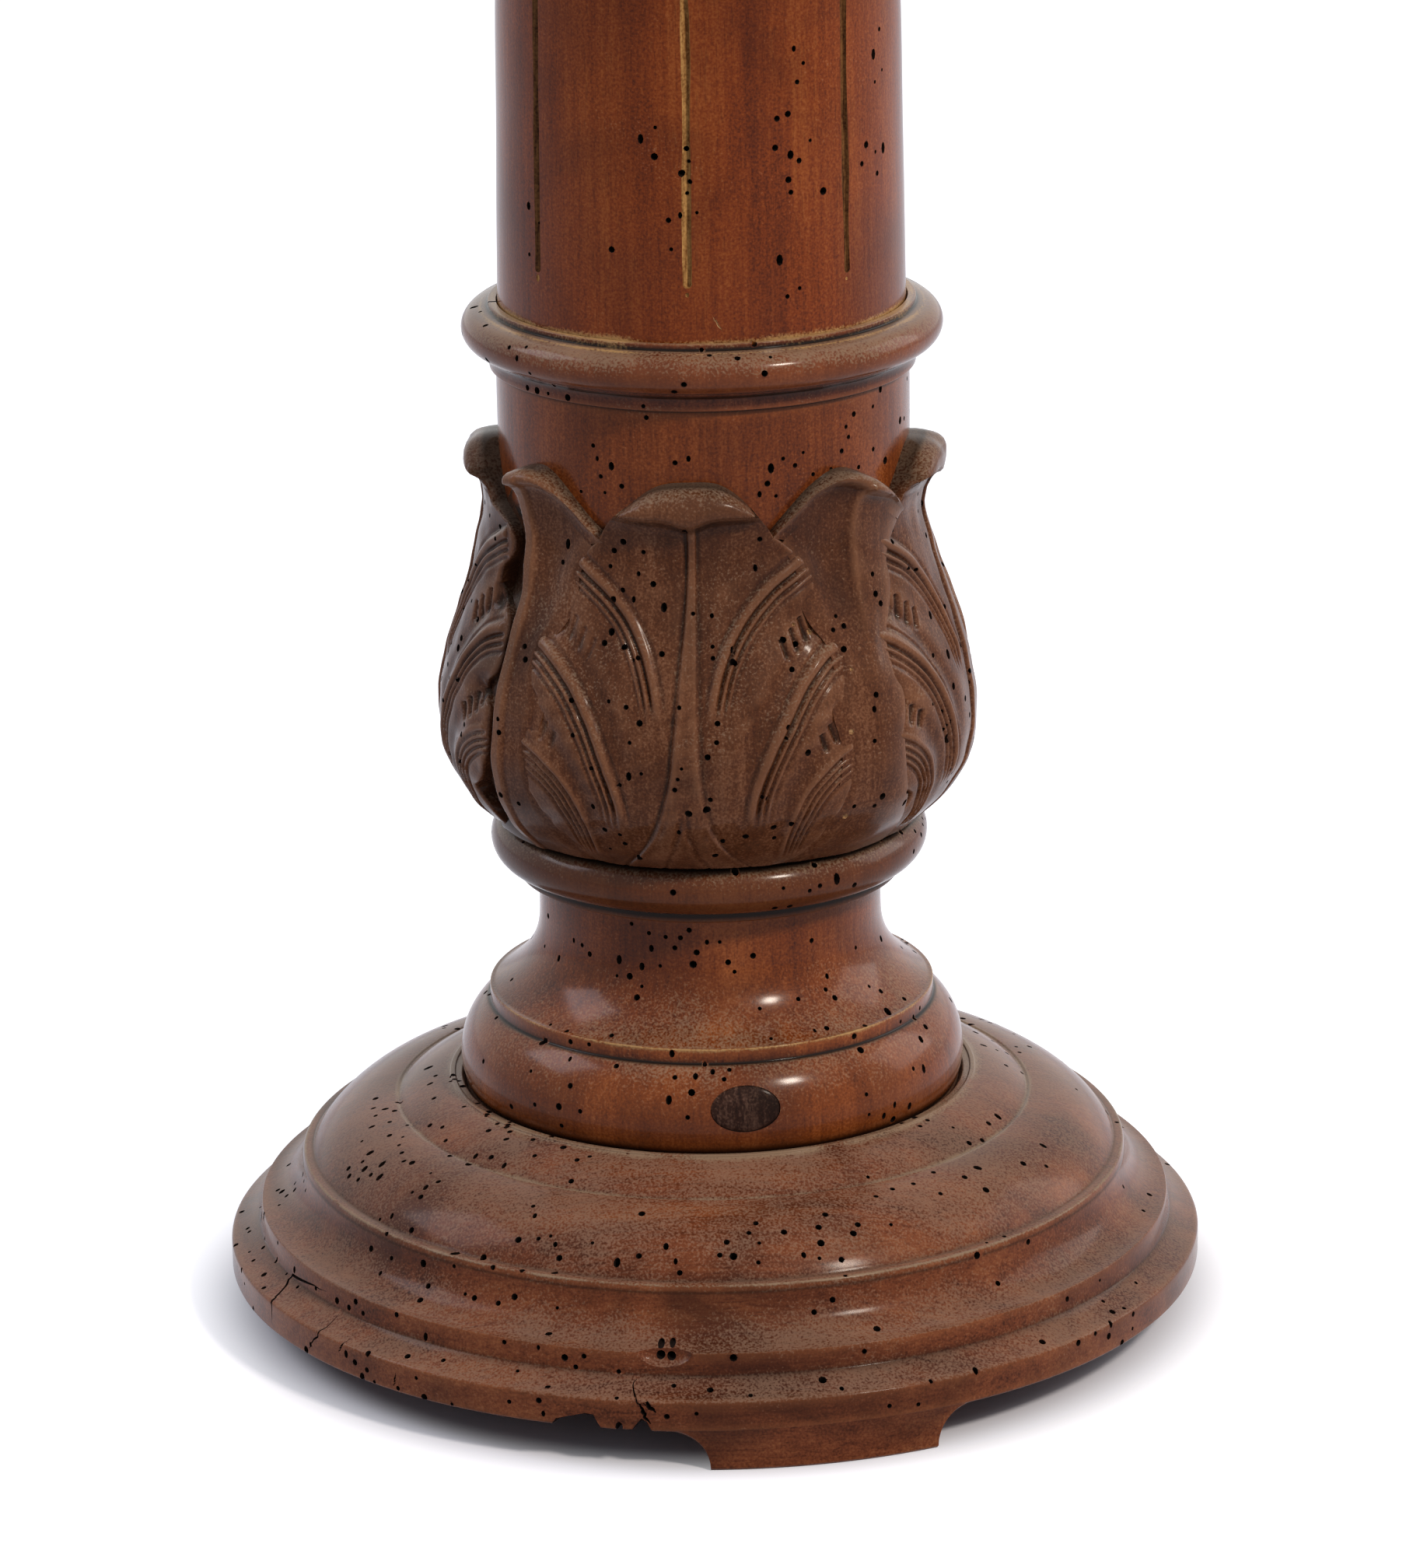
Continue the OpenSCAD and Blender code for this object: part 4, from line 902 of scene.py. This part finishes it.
GUESSED_STEP = 2.2
cap_ring_foot, echinus_foot = CAP_FOOT + 30, CAP_FOOT + 34
cap_cove_foot, flange_foot = CAP_FOOT + 68, CAP_FOOT + 80
echinus_t = np.linspace(0, 1, 20)[:, None]
capital_outline = joined(
    dowel_bore(CAP_FOOT, DOWEL_DEPTH)[::-1], [(49.5, CAP_FOOT), (49.5, cap_ring_foot - 3)],
    arc((49.5, cap_ring_foot - 3), (54.5, cap_ring_foot), -1.2, 6), [(54.5, echinus_foot)],
    np.hstack([53.5 + 34.5 * np.sin(echinus_t * math.pi / 2), echinus_foot + 34 * echinus_t ** 2]),
    arc((80, cap_cove_foot + 0.4), (90, flange_foot), -3),
    [(103.6, flange_foot), (104, flange_foot + 0.4), (104, FLANGE_TOP - 0.4), (103.6, FLANGE_TOP),
     (0, FLANGE_TOP)])
lathe_work("capital_turning", "capital", capital_outline, RING_WOOD,
           (90, 18, CAP_FOOT + 2, FLANGE_TOP - 1, 48),
           [screw_bores(TOP_SCREW_CIRCLE, 45, 4, flange_foot, FLANGE_TOP + 2)], closed=False,
           step=GUESSED_STEP)

top_outline = joined(
    [(0, FLANGE_TOP), (116, FLANGE_TOP)], arc((116, FLANGE_TOP + 2), (128, COLUMN_TOP - 11), 2.6, 14),
    [(130, COLUMN_TOP - 11), (130, COLUMN_TOP - 0.6), (129.4, COLUMN_TOP), (0, COLUMN_TOP)])
lathe_work("round_top_board", "round_top", top_outline, TOP_WOOD,
           (200, 19, FLANGE_TOP + 2, COLUMN_TOP + 1, 20),
           [screw_bores(TOP_SCREW_CIRCLE, 45, 4, FLANGE_TOP - 8, FLANGE_TOP + 14.8)],
           "base_wood", closed=False, step=GUESSED_STEP)


# Carved bulb: a turned core, four carved leaves and four plain leaves behind them

core_outline = joined(
    dowel_bore(BULB_FOOT, DOWEL_DEPTH)[::-1],
    [(60.5, BULB_FOOT), (60.5, BULB_FOOT + 70), (61.8, BULB_FOOT + 86), (61.8, BULB_FOOT + 98)],
    [(61.8, BULB_FOOT + rise) for rise in (108, 118, 128)], [(61.8, BULB_TOP)],
    dowel_bore(BULB_TOP, -DOWEL_DEPTH))
# Painted shade: a dark band where the drum meets the leaf tips, and under the shaft collar
lathe_work("bulb_core_drum", "carved_bulb", core_outline, RING_WOOD,
           (50, 20, BULB_FOOT + 112, BULB_TOP - 1, 60,
            [(-27, BULB_FOOT + 121, 8, 3, 4), (20, BULB_FOOT + 118, 7, 3, 3), (43, BULB_FOOT + 124, 4, 3, 4),
             (-5, BULB_FOOT + 126, 3, 4, 3)]),
           slot="carved_wood", closed=False, corner=0.3,
           grimy=[(61.8, BULB_FOOT + 100, 4), (61.8, BULB_TOP, 1.6)])

LEAF_BODY = [(0, 64.6), (5.2, 70.1), (9.1, 73.5), (13.8, 76.4), (18.5, 78.8), (23.5, 80.0), (31.5, 80.9),
             (38.5, 80.6), (51.5, 78.3), (63.5, 74.5), (74.5, 70.6), (86.5, 67.8), (95.5, 66.5), (106, 66.2),
             (122, 66)]
# Half widths of a carved leaf in degrees: one edge with a shallow notch, one almost even and one cut deep
NOTCHED_EDGE = [(0, 27), (5, 30), (17.6, 34.6), (23.5, 36.8), (30.7, 37.6), (41.4, 37.8), (47.6, 37.4),
                (49.8, 35), (52.2, 36.8), (59, 38), (66.2, 37.7), (71, 34.4), (74.4, 31.2), (76.6, 30.9),
                (80.4, 33.1), (87, 33.4), (91, 31.7), (96.3, 27.9), (99.6, 24.6), (101.5, 22.4)]
EVEN_EDGE = [(0, 27), (5, 30), (18, 35.5), (30.6, 39.5), (37.1, 40), (44.6, 38.6), (50.5, 38), (52.6, 36.4),
             (55, 37.8), (61.7, 39.2), (67, 38.2), (70.7, 36.6), (76.1, 32.8), (81.1, 31.3), (85.7, 30.4),
             (90.7, 29.6), (95.9, 26.9), (99.6, 23.8), (101.5, 22.4)]
DEEP_EDGE = [(0, 27), (5, 31), (11, 32), (14.5, 30.5), (17.5, 31), (20.5, 34.8), (26, 37.8), (33, 40),
             (41, 40.5), (45.6, 40), (48.6, 36.6), (51.4, 37), (55, 40), (63.3, 40.4), (68.6, 40), (72, 38),
             (74, 34.6), (76.9, 31.9), (81.1, 31.1), (84.4, 31.9), (87, 34.4), (90.5, 36.2), (94, 35.6),
             (97.2, 32.4), (99.8, 27), (101.5, 22.4)]
CARVED_TOP = [(-22.4, 101.5), (-20, 105.4), (-16, 109.6), (-9.7, 114.9), (0.4, 117.1), (10.8, 115.4),
              (16.9, 109.8), (20, 105.4), (22.4, 101.5)]
PLAIN_TOP = [(-23.6, 100), (-20, 104.2), (-16, 108.4), (-12, 112.2), (-8, 115), (-3.5, 117), (1, 117.2),
             (5, 115.6), (9, 112.4), (13, 108.6), (17.5, 104.2), (23.6, 99)]
LEAF_JOIN = 101.5
SPLIT = 84.0
DEGREE_MM = 1.31
LEAF_ROOT_R = 57.5
CARVED_GRID = (281, 283)
PLAIN_GRID = (231, 141)


def beside(points, x, y):
    """How far (x, y) lies to the right of the smooth way through the points, and what share of it is
    passed."""
    way = smooth_way(points, 8 * (len(points) - 1) + 1)
    best, side, share = np.full(x.shape, 1e9), np.ones(x.shape), np.zeros(x.shape)
    for i, step in enumerate(np.diff(way, axis=0)):
        dx, dy = x - way[i, 0], y - way[i, 1]
        s = np.clip((dx * step[0] + dy * step[1]) / (step @ step), 0, 1)
        gap = np.hypot(dx - s * step[0], dy - s * step[1])
        nearer = gap < best
        best = np.where(nearer, gap, best)
        side = np.where(nearer, np.where(dx * step[1] - dy * step[0] > 0, 1, -1), side)
        share = np.where(nearer, (i + s) / (len(way) - 1), share)
    return best * side, share


def bell(x, wide):
    """1 in the middle, falling off to both sides over about wide."""
    return np.exp(-(x / wide) ** 2)


VEIN_START, VEIN_END, VEIN_TAPER = 0.04, 0.16, 0.7


def flutes(points, x, y, lines):
    """Gouged veins along a way, each a (offset, half width, rise) line beside it: a minus rise is a groove
    and a plus rise a roll. They draw together towards the end and run out at both ends."""
    off, share = beside(points, x, y)
    off = off / (1 + (VEIN_TAPER - 1) * share)
    shape = sum(rise * bell(off - at, wide) for at, wide, rise in lines)
    return shape * ease(share / VEIN_START) * ease((1 - share) / VEIN_END)


def dent(points, x, y, wide, depth):
    """A rounded valley along a way, or a gouge cut if it is short."""
    off, share = beside(points, x, y)
    return -depth * bell(off, wide) * ease(share / 0.05) * ease((1 - share) / 0.25)


def scaled(points):
    """(degrees, height) points in millimetres."""
    return [(a * DEGREE_MM, h) for a, h in points]


UPPER_VEIN = [(33.5, 91), (29.5, 89), (22.4, 83.8), (16.6, 77), (12.8, 70.4), (10.4, 64), (8.6, 56),
              (7.6, 47)]
MIDDLE_VEIN = [(40, 66), (33.8, 62.5), (27.5, 55.5), (22.4, 45.5), (18.6, 35), (16.2, 25), (15.2, 14)]
LOWER_VEIN = [(40.5, 35), (35, 32.5), (29.5, 26.5), (26, 18.5), (24.6, 10), (25, 3)]
VEINS = [(UPPER_VEIN, [(-3.4, 0.8, -0.45), (-2.3, 0.7, 0.3), (-1.2, 0.75, -0.75), (0.3, 0.8, 0.5),
                       (1.7, 0.75, -0.95), (4.0, 1.7, 0.8), (6.6, 0.9, -0.5)]),
         (MIDDLE_VEIN, [(-4.4, 0.75, -0.55), (-3.3, 0.7, 0.3), (-2.1, 0.75, -0.8), (-0.8, 0.7, 0.5),
                        (0.5, 0.75, -0.95), (3.0, 1.7, 0.85), (5.4, 0.8, -0.55)]),
         (LOWER_VEIN, [(-3.6, 0.7, -0.7), (-2.5, 0.65, 0.4), (-1.5, 0.7, -0.8), (-0.4, 0.65, 0.4),
                       (0.6, 0.7, -0.8), (1.7, 0.65, 0.4), (2.8, 0.8, -0.7), (4.4, 1.2, 0.5)])]
SHARE_LINES = [[(34.5, 74.5), (30.5, 71.5), (24.5, 63), (18, 51), (14, 38), (12.6, 26)],
               [(37.4, 50), (33, 45.5), (27.8, 37), (22.6, 26), (20.6, 14), (20.6, 4)]]
NICKS = [[(22.6, 71.6), (24, 64.8)], [(25.4, 74.2), (27, 66.6)], [(28.2, 77), (29.9, 69)],
         [(31, 79.2), (32.6, 72.4)], [(29.4, 43.6), (30.8, 37.6)], [(31.9, 46), (33.4, 39.4)],
         [(34.3, 48), (35.7, 41.6)], [(36.4, 49.4), (37.4, 44)]]
RIB_HALF = [(-2, 23), (0, 21), (5.6, 14.7), (13.7, 9.0), (22.7, 6.3), (31, 4.8), (45, 3.8), (64, 3.0),
            (86, 1.75), (106, 1.6), (120, 1.6)]
RIB_LEAN = [(0, -0.9), (14, -0.7), (31, 0), (45, 0.3), (64, 0.8), (86, 1.4), (120, 1.6)]
INNER_RIB = [(-2, 8.5), (0, 7.4), (5.5, 4.4), (14, 1.5), (25, 0.1)]


def blurred(field, cells):
    """A grid smoothed by a bell curve, some cells wide, along both of its ways."""
    half = 3 * cells
    weights = bell(np.arange(-half, half + 1), cells * math.sqrt(2))
    weights /= weights.sum()
    for axis in (0, 1):
        padded = np.pad(field, [(half, half) if k == axis else (0, 0) for k in (0, 1)], mode="edge")
        field = np.apply_along_axis(np.convolve, axis, padded, weights, "valid")
    return field


def leaf_lip(h, top, crease, swell):
    """How far the rolled tip stands out. Below the crease it falls back steeply, above it bulges and rounds
    over to the top edge."""
    below = np.interp(crease - h, [0, 0.7, 2.2, 5, 9.5, 15], [5.2, 3.5, 2.0, 0.8, 0.2, 0])
    part = np.clip((h - crease) / np.maximum(top - crease, 0.8), 0, 1)
    roll = np.interp(part, [0, 0.08, 0.25, 0.5, 0.7, 0.85, 0.95, 1], [5.2, 5.9, 6.1, 6.0, 5.3, 3.9, 2.0, 0.1])
    return swell * np.where(h < crease, below, roll)


def grid_normals(points, i, j):
    """Outward unit normals of a grid of points at rows i and columns j."""
    normal = np.cross(points[i, j + 1] - points[i, j - 1], points[i + 1, j] - points[i - 1, j])
    return normal / np.linalg.norm(normal, axis=1)[:, None]


def leaf_shell(name, centre, a, h, r, marks, holes, seed, chips=()):
    """A closed leaf from a grid of angle, height and radius, whose rows run up the leaf: its face, walls
    round its border down into the core and a fan inside. Then small chips are cut at the given (angle,
    height) places, and worm holes at chance ones."""
    rows, columns = a.shape
    face = around(r, np.radians(centre + a), BULB_FOOT + h)
    border = np.concatenate([np.arange(columns), np.arange(1, rows) * columns + columns - 1,
                             (rows - 1) * columns + np.arange(columns - 2, -1, -1),
                             np.arange(rows - 2, 0, -1) * columns])
    flat_a, flat_h, flat_r = a.ravel()[border], h.ravel()[border], r.ravel()[border]
    at_top = border >= (rows - 1) * columns
    walls = []
    for depth in (0.3, 1.0):
        wall_r = flat_r + (LEAF_ROOT_R - flat_r) * depth
        walls.append(around(wall_r, np.radians(centre + flat_a * (1 - 0.02 * depth)),
                            BULB_FOOT + flat_h + at_top * 0.4))
    inside = around(np.array([LEAF_ROOT_R - 1]), np.radians([centre]), BULB_FOOT + 50)
    points = np.vstack([face.reshape(-1, 3), *walls, inside])
    count, start = len(border), rows * columns
    ring = np.arange(count)
    after = (ring + 1) % count
    faces = grid_faces(rows, columns).tolist()
    faces += np.stack([border[ring], border[after], start + after, start + ring], 1).tolist()
    faces += np.stack([start + ring, start + after, start + count + after, start + count + ring], 1).tolist()
    faces += np.stack([start + count + ring, start + count + after, 0 * ring + start + 2 * count], 1).tolist()
    # Walls down into the core are marked 0.8 dark, painted shade in the gaps between the leaves
    tail = np.zeros(2 * count + 1)
    marks = {mark: np.concatenate([values.ravel(), tail + (mark == "grime_and_shade") * 0.8])
             for mark, values in marks.items()}
    leaf = new_piece(name, points, faces, CARVED_WOOD, marks)
    for chip_a, chip_h in chips:
        i, j = np.unravel_index(np.hypot((a - chip_a) * DEGREE_MM, h - chip_h).argmin(), a.shape)
        i, j = np.clip([i], 3, rows - 4), np.clip([j], 3, columns - 4)
        carve(leaf, borings(face[i, j], grid_normals(face, i, j), seed + i[0], RAW_WOOD, 5, 0.7, (0.3, 0.8)))
    rng = np.random.default_rng(seed)
    i = rng.integers(12, rows - 8, holes)
    j = rng.integers(int(0.12 * columns), int(0.88 * columns), holes)
    twin = rng.random(holes) < 0.3
    i = np.concatenate([i, np.clip(i[twin] + 9, 0, rows - 3)])
    j = np.concatenate([j, np.clip(j[twin] + rng.integers(-4, 5, twin.sum()), 2, columns - 3)])
    kept = apart(face[i, j], HOLE_GAP)
    i, j = i[kept], j[kept]
    carve(leaf, borings(face[i, j], grid_normals(face, i, j), seed, BORE_SHADE_AND_DUST))
    finish_piece(leaf, "carved_bulb", sharp=60)


def carved_relief(a, h, left, right, crease, worn, mouths):
    """The carved leaf above its body: midrib, veins, valleys between the lobes, gouge cuts and rounded
    edges."""
    lean = a - through(RIB_LEAN, h)
    x, y = np.abs(a) * DEGREE_MM * (1 + 0.012 * waves(a, h, 41, 30)), h
    rib_x = np.abs(lean) * DEGREE_MM
    relief = sum(flutes(scaled(points), x, y, lines) for points, lines in VEINS)
    for points, mouth in zip(SHARE_LINES, mouths):
        relief += dent(scaled(points), x, y, 3.0, 0.8)
        hole = np.hypot(x - points[0][0] * DEGREE_MM, y - points[0][1])
        relief -= mouth * bell(hole, 3.2)
    for points in NICKS:
        relief += dent(scaled(points), x, y, 0.9, 1.15 * np.where(a > 0, 1, worn))
    stalk = through(RIB_HALF, h)
    fade = ease((crease + 0.5 - h) / 3)
    relief -= np.where(lean < 0, 0.6, 0.35) * bell(rib_x - stalk - 0.3, 0.8) * fade
    relief += 0.75 * (1 - ease((rib_x - stalk * 0.55) / (stalk * 0.5))) * fade * ease((h + 2) / 10)
    bead = (rib_x - stalk + 0.9) * (h < 60)
    relief += 0.3 * bell(bead, 0.7) * ease((58 - h) / 20) * ease((h + 2) / 6)
    relief -= 0.55 * bell(rib_x - np.interp(h, *np.array(INNER_RIB).T), 0.9) * ease((26 - h) / 5)
    side = np.minimum(a - left, right - a) * DEGREE_MM
    relief -= 1.2 * (1 - np.sqrt(np.clip(1 - np.clip(1 - side / 1.8, 0, 1) ** 2, 0, 1))) * (h < crease + 1)
    return relief + 0.8 * ease(side / 11) * ease((98 - h) / 14) - 0.45


def grid_of_leaf(rows, columns, left_of, right_of, top_of):
    """Angle, height, edges and top of a leaf's grid. Up to the split a row is level; above it the rows rise
    with the tip."""
    level = np.linspace(0, LEAF_JOIN, rows)[:, None]
    u = np.linspace(0, 1, columns)[None, :]
    left, right = left_of(level), right_of(level)
    a = left + (right - left) * u
    top = top_of(a)
    h = np.where(level < SPLIT, level, SPLIT + (top - SPLIT) * (level - SPLIT) / (LEAF_JOIN - SPLIT))
    return a, h, left + 0 * a, right + 0 * a, top


def cavity_marks(surface, deep, proud):
    """Grime and painted shade where a surface lies below its own blurred form, and wear and painted highlight
    where it stands above it. It is blurred both finely and broadly."""
    hollow = blurred(surface, 4) - surface + 0.35 * (blurred(surface, 12) - surface)
    return {"grime_and_shade": np.clip(hollow / deep, 0, 1), "wear_and_highlight": np.clip(-hollow / proud, 0, 1)}


# Pale chips of the front leaf, as (angle, height)
PALE_CHIPS = [(38.2, 63), (37, 51.5), (30.5, 72), (26.5, 75)]
# Centre angle, left and right edge, how worn the left cuts are, how deep the notches are, and pale chips
CARVED_LEAVES = [(-5, EVEN_EDGE, NOTCHED_EDGE, 0.4, (0.3, 0.2), PALE_CHIPS),
                 (82, DEEP_EDGE, NOTCHED_EDGE, 1.0, (1.5, 1.0), []),
                 (175, NOTCHED_EDGE, EVEN_EDGE, 0.7, (0.6, 0.4), []),
                 (265, EVEN_EDGE, DEEP_EDGE, 0.8, (2.0, 1.2), [])]
for k, (centre, left_edge, right_edge, worn, mouths, chips) in enumerate(CARVED_LEAVES):
    a, h, left, right, top = grid_of_leaf(*CARVED_GRID, lambda y: -through(left_edge, y),
                                          lambda y: through(right_edge, y), lambda b: through(CARVED_TOP, b))
    crease = 108.6 - 2.6 * bell(a - 1, 4.2) - 0.6 * bell(a + 9, 5)
    relief = carved_relief(a, h, left, right, crease, worn, mouths)
    relief += 0.35 * waves(a + 100 * k, h, 50 + k, 45) + 0.1 * waves(a, h + 90 * k, 60 + k, 9)
    lip = leaf_lip(h, top, crease, 1.1 - 0.4 * (a / 22) ** 4)
    marks = cavity_marks(relief + 0.45 * lip, 1.0, 0.45)
    # Painted shade in a band under the crease of the lip
    marks["grime_and_shade"] = np.clip(marks["grime_and_shade"] + 0.6 * bell(h - crease + 1.4, 1.3), 0, 1)
    marks["wear_and_highlight"] = marks["wear_and_highlight"] * (1 - 0.6 * (h > crease))
    r = through(LEAF_BODY, h) + lip + relief
    leaf_shell(f"carved_leaf_{k + 1}", centre, a, h, r, marks, 66, 90 + k, chips)

PLAIN_HALF = [(0, 18), (5, 15.5), (18, 10.6), (30, 8.2), (40, 8.2), (49, 9.5), (60, 7.6), (68, 8.4), (75, 12),
              (82, 14), (88, 14), (96, 18.5), (101.5, 23.6)]
HOOKED_KEEL = [(0, 0), (70, 0), (80, 0.1), (88, -0.1), (95, -0.5), (102.5, -1.7), (110, -3.4), (120, -5)]
SOFT_KEEL = [(0, -1), (40, 0), (70, 1), (97, 1), (104, 1.4), (110, 2.8), (114, 6), (120, 9)]


def plain_leaf(name, centre, gap_side, hooked, seed, chips=()):
    """A plain leaf between two carved ones. Its keel runs up to the tip; on one side a face, hollow towards
    the tip, meets the next leaf. On the other it drops into a deep gap, right behind a hooked keel and
    further off behind a soft one."""
    a, h, left, right, top = grid_of_leaf(*PLAIN_GRID, lambda y: -through(PLAIN_HALF, y) - 2.6 * (y < 97),
                                          lambda y: through(PLAIN_HALF, y) + 2.6 * (y < 97),
                                          lambda b: through(PLAIN_TOP, b * (-1 if hooked else 1) * gap_side))
    keel_at = through(HOOKED_KEEL if hooked else SOFT_KEEL, h) * (-gap_side if hooked else gap_side)
    off = gap_side * (a - keel_at) * DEGREE_MM
    edge_at = (through(PLAIN_HALF, h) - gap_side * keel_at) * DEGREE_MM
    half = np.interp(h, [0, 60, 80, 100, 112], [1.0, 1.1, 1.3, 1.6, 2.2]) if hooked else 0.4
    wall = half + 0.2 if hooked else edge_at - 2.4
    face_room = np.maximum(edge_at + 2 * gap_side * keel_at * DEGREE_MM - half, 2)
    front = np.clip((-off - half) / face_room, 0, 1.2)
    across_face = np.clip(front, 0, 1)
    near_tip = ease((h - 55) / 45)
    rise = 0.9 if hooked else 1.1 * near_tip
    slope = 2.0 if hooked else 3.5
    relief = rise * ease((off + half + slope) / slope) + 0.9 * (1 - near_tip) * np.cos(across_face * 1.5)
    scooped = np.minimum(0.24 * face_room, 2.3) * (0.1 + 0.9 * near_tip)
    relief -= scooped * np.sin(across_face * math.pi) ** 1.2
    relief -= 0.5 * ease((front - 0.75) / 0.3)
    relief -= (0 if hooked else 1.5) * np.clip(off / edge_at, 0, 1) ** 2
    fade = ease(h / 10 + 0.15)
    deep = (5.6 if hooked else 3.8) + 2.4 * bell(h - 81, 7) + 2.0 * bell(h - 15.5, 8)
    relief -= deep * ease((off - wall) / 1.8) * fade
    relief = relief * ease((120 - h) / 9) + 0.2 * waves(a, h + 60 * seed, 80 + seed, 16)
    crease = top - (0.8 + 3.8 * bell(a - keel_at, 9.5))
    shown = 1 - ease((off - wall + 0.5) / 3.5)
    lip = leaf_lip(h, top, crease, (0.95 * bell(a - keel_at, 17)) * (0.15 + 0.85 * shown))
    marks = cavity_marks(relief + 0.45 * lip, 0.9, 0.5)
    # Painted shade down into the deep gap beside the keel
    marks["grime_and_shade"] = np.clip(marks["grime_and_shade"] + 0.9 * ease((off - wall) / 2.5), 0, 1)
    leaf_shell(name, centre, a, h, through(LEAF_BODY, h) + lip + relief, marks, 15, 110 + seed, chips)


plain_leaf("plain_leaf_1", 40, 1, False, 1, [(-6, 60.5), (-8.2, 42.6), (-8.6, 38.4), (-9, 16.5)])
plain_leaf("plain_leaf_2", 130, 1, True, 2)
plain_leaf("plain_leaf_3", 220, -1, False, 3)
plain_leaf("plain_leaf_4", 310, -1, True, 4)


# Camera, floor and light

def placed(x_way, y_way, z_way, at):
    """A matrix from the ways of an object's axes and its place."""
    return Matrix([[*row, to] for row, to in zip(np.stack([x_way, y_way, z_way], 1), at)] + [[0, 0, 0, 1]])


TILT, ROLL = math.radians(17.51), math.radians(0.8)
EYE = (0.0004, -1.957, 0.7798)
SENSOR = 36
FOCAL_PIXELS = 8650
FRAME_PIXELS = 2016
ahead = np.array([0, math.cos(TILT), -math.sin(TILT)])
level_right, level_up = np.array([1.0, 0, 0]), np.array([0, math.sin(TILT), math.cos(TILT)])
right_way = level_right * math.cos(ROLL) - level_up * math.sin(ROLL)
up_way = level_up * math.cos(ROLL) + level_right * math.sin(ROLL)
camera = bpy.data.objects.new("camera", bpy.data.cameras.new("camera"))
bpy.context.scene.collection.objects.link(camera)
camera.data.sensor_width = SENSOR
camera.data.lens = FOCAL_PIXELS / FRAME_PIXELS * SENSOR
camera.matrix_world = placed(right_way, up_way, -ahead, EYE)
bpy.context.scene.camera = camera


def floor():
    """A wide flat grid at height 0. It glows towards the camera and in gloss, little near the base, where its
    shadow falls, and more further off, so that it runs white into the world behind it. The grey-blue ring
    near the base that does not glow is painted shade all round the base, on top of its cast shadow."""
    size = 6000
    line = np.linspace(-size, size, 9)
    x, y = np.meshgrid(line, line, indexing="ij")
    material, tree = bare_material("white_paper_floor")
    paper = add(tree, "ShaderNodeBsdfDiffuse", {"Color": "#c6c8d2"})
    ray = add(tree, "ShaderNodeLightPath", output="Is Camera Ray")
    gloss = add(tree, "ShaderNodeLightPath", output="Is Glossy Ray")
    seen = strength(tree, ray, (gloss, 0.4))
    place = add(tree, "ShaderNodeTexCoord", output="Object")
    away = add(tree, "ShaderNodeVectorMath", {0: place}, "Value", operation="LENGTH")
    # Painted shade: no glow within 0.133 m of the axis, full glow from 0.174 m
    glow = add(tree, "ShaderNodeMapRange",
               {"Value": away, "From Min": 0.133, "From Max": 0.174, "To Min": 0.0, "To Max": 0.84},
               interpolation_type="SMOOTHSTEP")
    light = add(tree, "ShaderNodeEmission",
                {"Color": "#ffffff", "Strength": strength(tree, 0.0, (seen, glow))})
    both = add(tree, "ShaderNodeAddShader", {0: paper, 1: light})
    add(tree, "ShaderNodeOutputMaterial", {"Surface": both})
    piece = new_piece("floor", np.stack([x, y, 0 * x], -1), grid_faces(9, 9).tolist(), material)
    if piece.data.polygons[0].normal.z < 0:
        piece.data.flip_normals()


def studio():
    """The world: soft even light, and plain white wherever the camera, gloss or glass looks past the
    object."""
    world = bpy.data.worlds.new("studio")
    bpy.context.scene.world = world
    world.use_nodes = True
    tree = world.node_tree
    tree.nodes.clear()
    white_for = 0.0
    for ray in ("Is Camera Ray", "Is Glossy Ray", "Is Transmission Ray"):
        looks = add(tree, "ShaderNodeLightPath", output=ray)
        white_for = add(tree, "ShaderNodeMath", {0: looks, 1: white_for}, operation="MAXIMUM")
    soft = add(tree, "ShaderNodeBackground", {"Color": "#f4f6ff", "Strength": 0.34})
    white = add(tree, "ShaderNodeBackground", {"Color": "#ffffff", "Strength": 1.0})
    either = add(tree, "ShaderNodeMixShader", {0: white_for, 1: soft, 2: white})
    add(tree, "ShaderNodeOutputWorld", {"Surface": either})


floor()
studio()


def softbox(name, place, target, size, watts, colour):
    """A square lamp that looks at a point."""
    data = bpy.data.lights.new(name, "AREA")
    data.size = size
    data.energy = watts
    data.color = linear(colour)[:3]
    lamp = bpy.data.objects.new(name, data)
    bpy.context.scene.collection.objects.link(lamp)
    way = np.array(target, float) - np.array(place, float)
    way /= np.linalg.norm(way)
    side = np.cross(way, [0, 0, 1.0])
    side /= np.linalg.norm(side)
    lamp.matrix_world = placed(side, np.cross(side, way), -way, place)


softbox("key", (1.3, -1.4, 1.9), (0, 0, 0.3), 0.3, 43, "#fff1e2")
softbox("left_rim", (-1.6, 0.1, 1.5), (0, 0, 0.2), 0.9, 13, "#f6f4ff")
softbox("right_rim", (1.6, 0.5, 0.9), (0, 0, 0.3), 1.0, 8, "#fffaf6")

bpy.context.scene.view_settings.view_transform = "Standard"
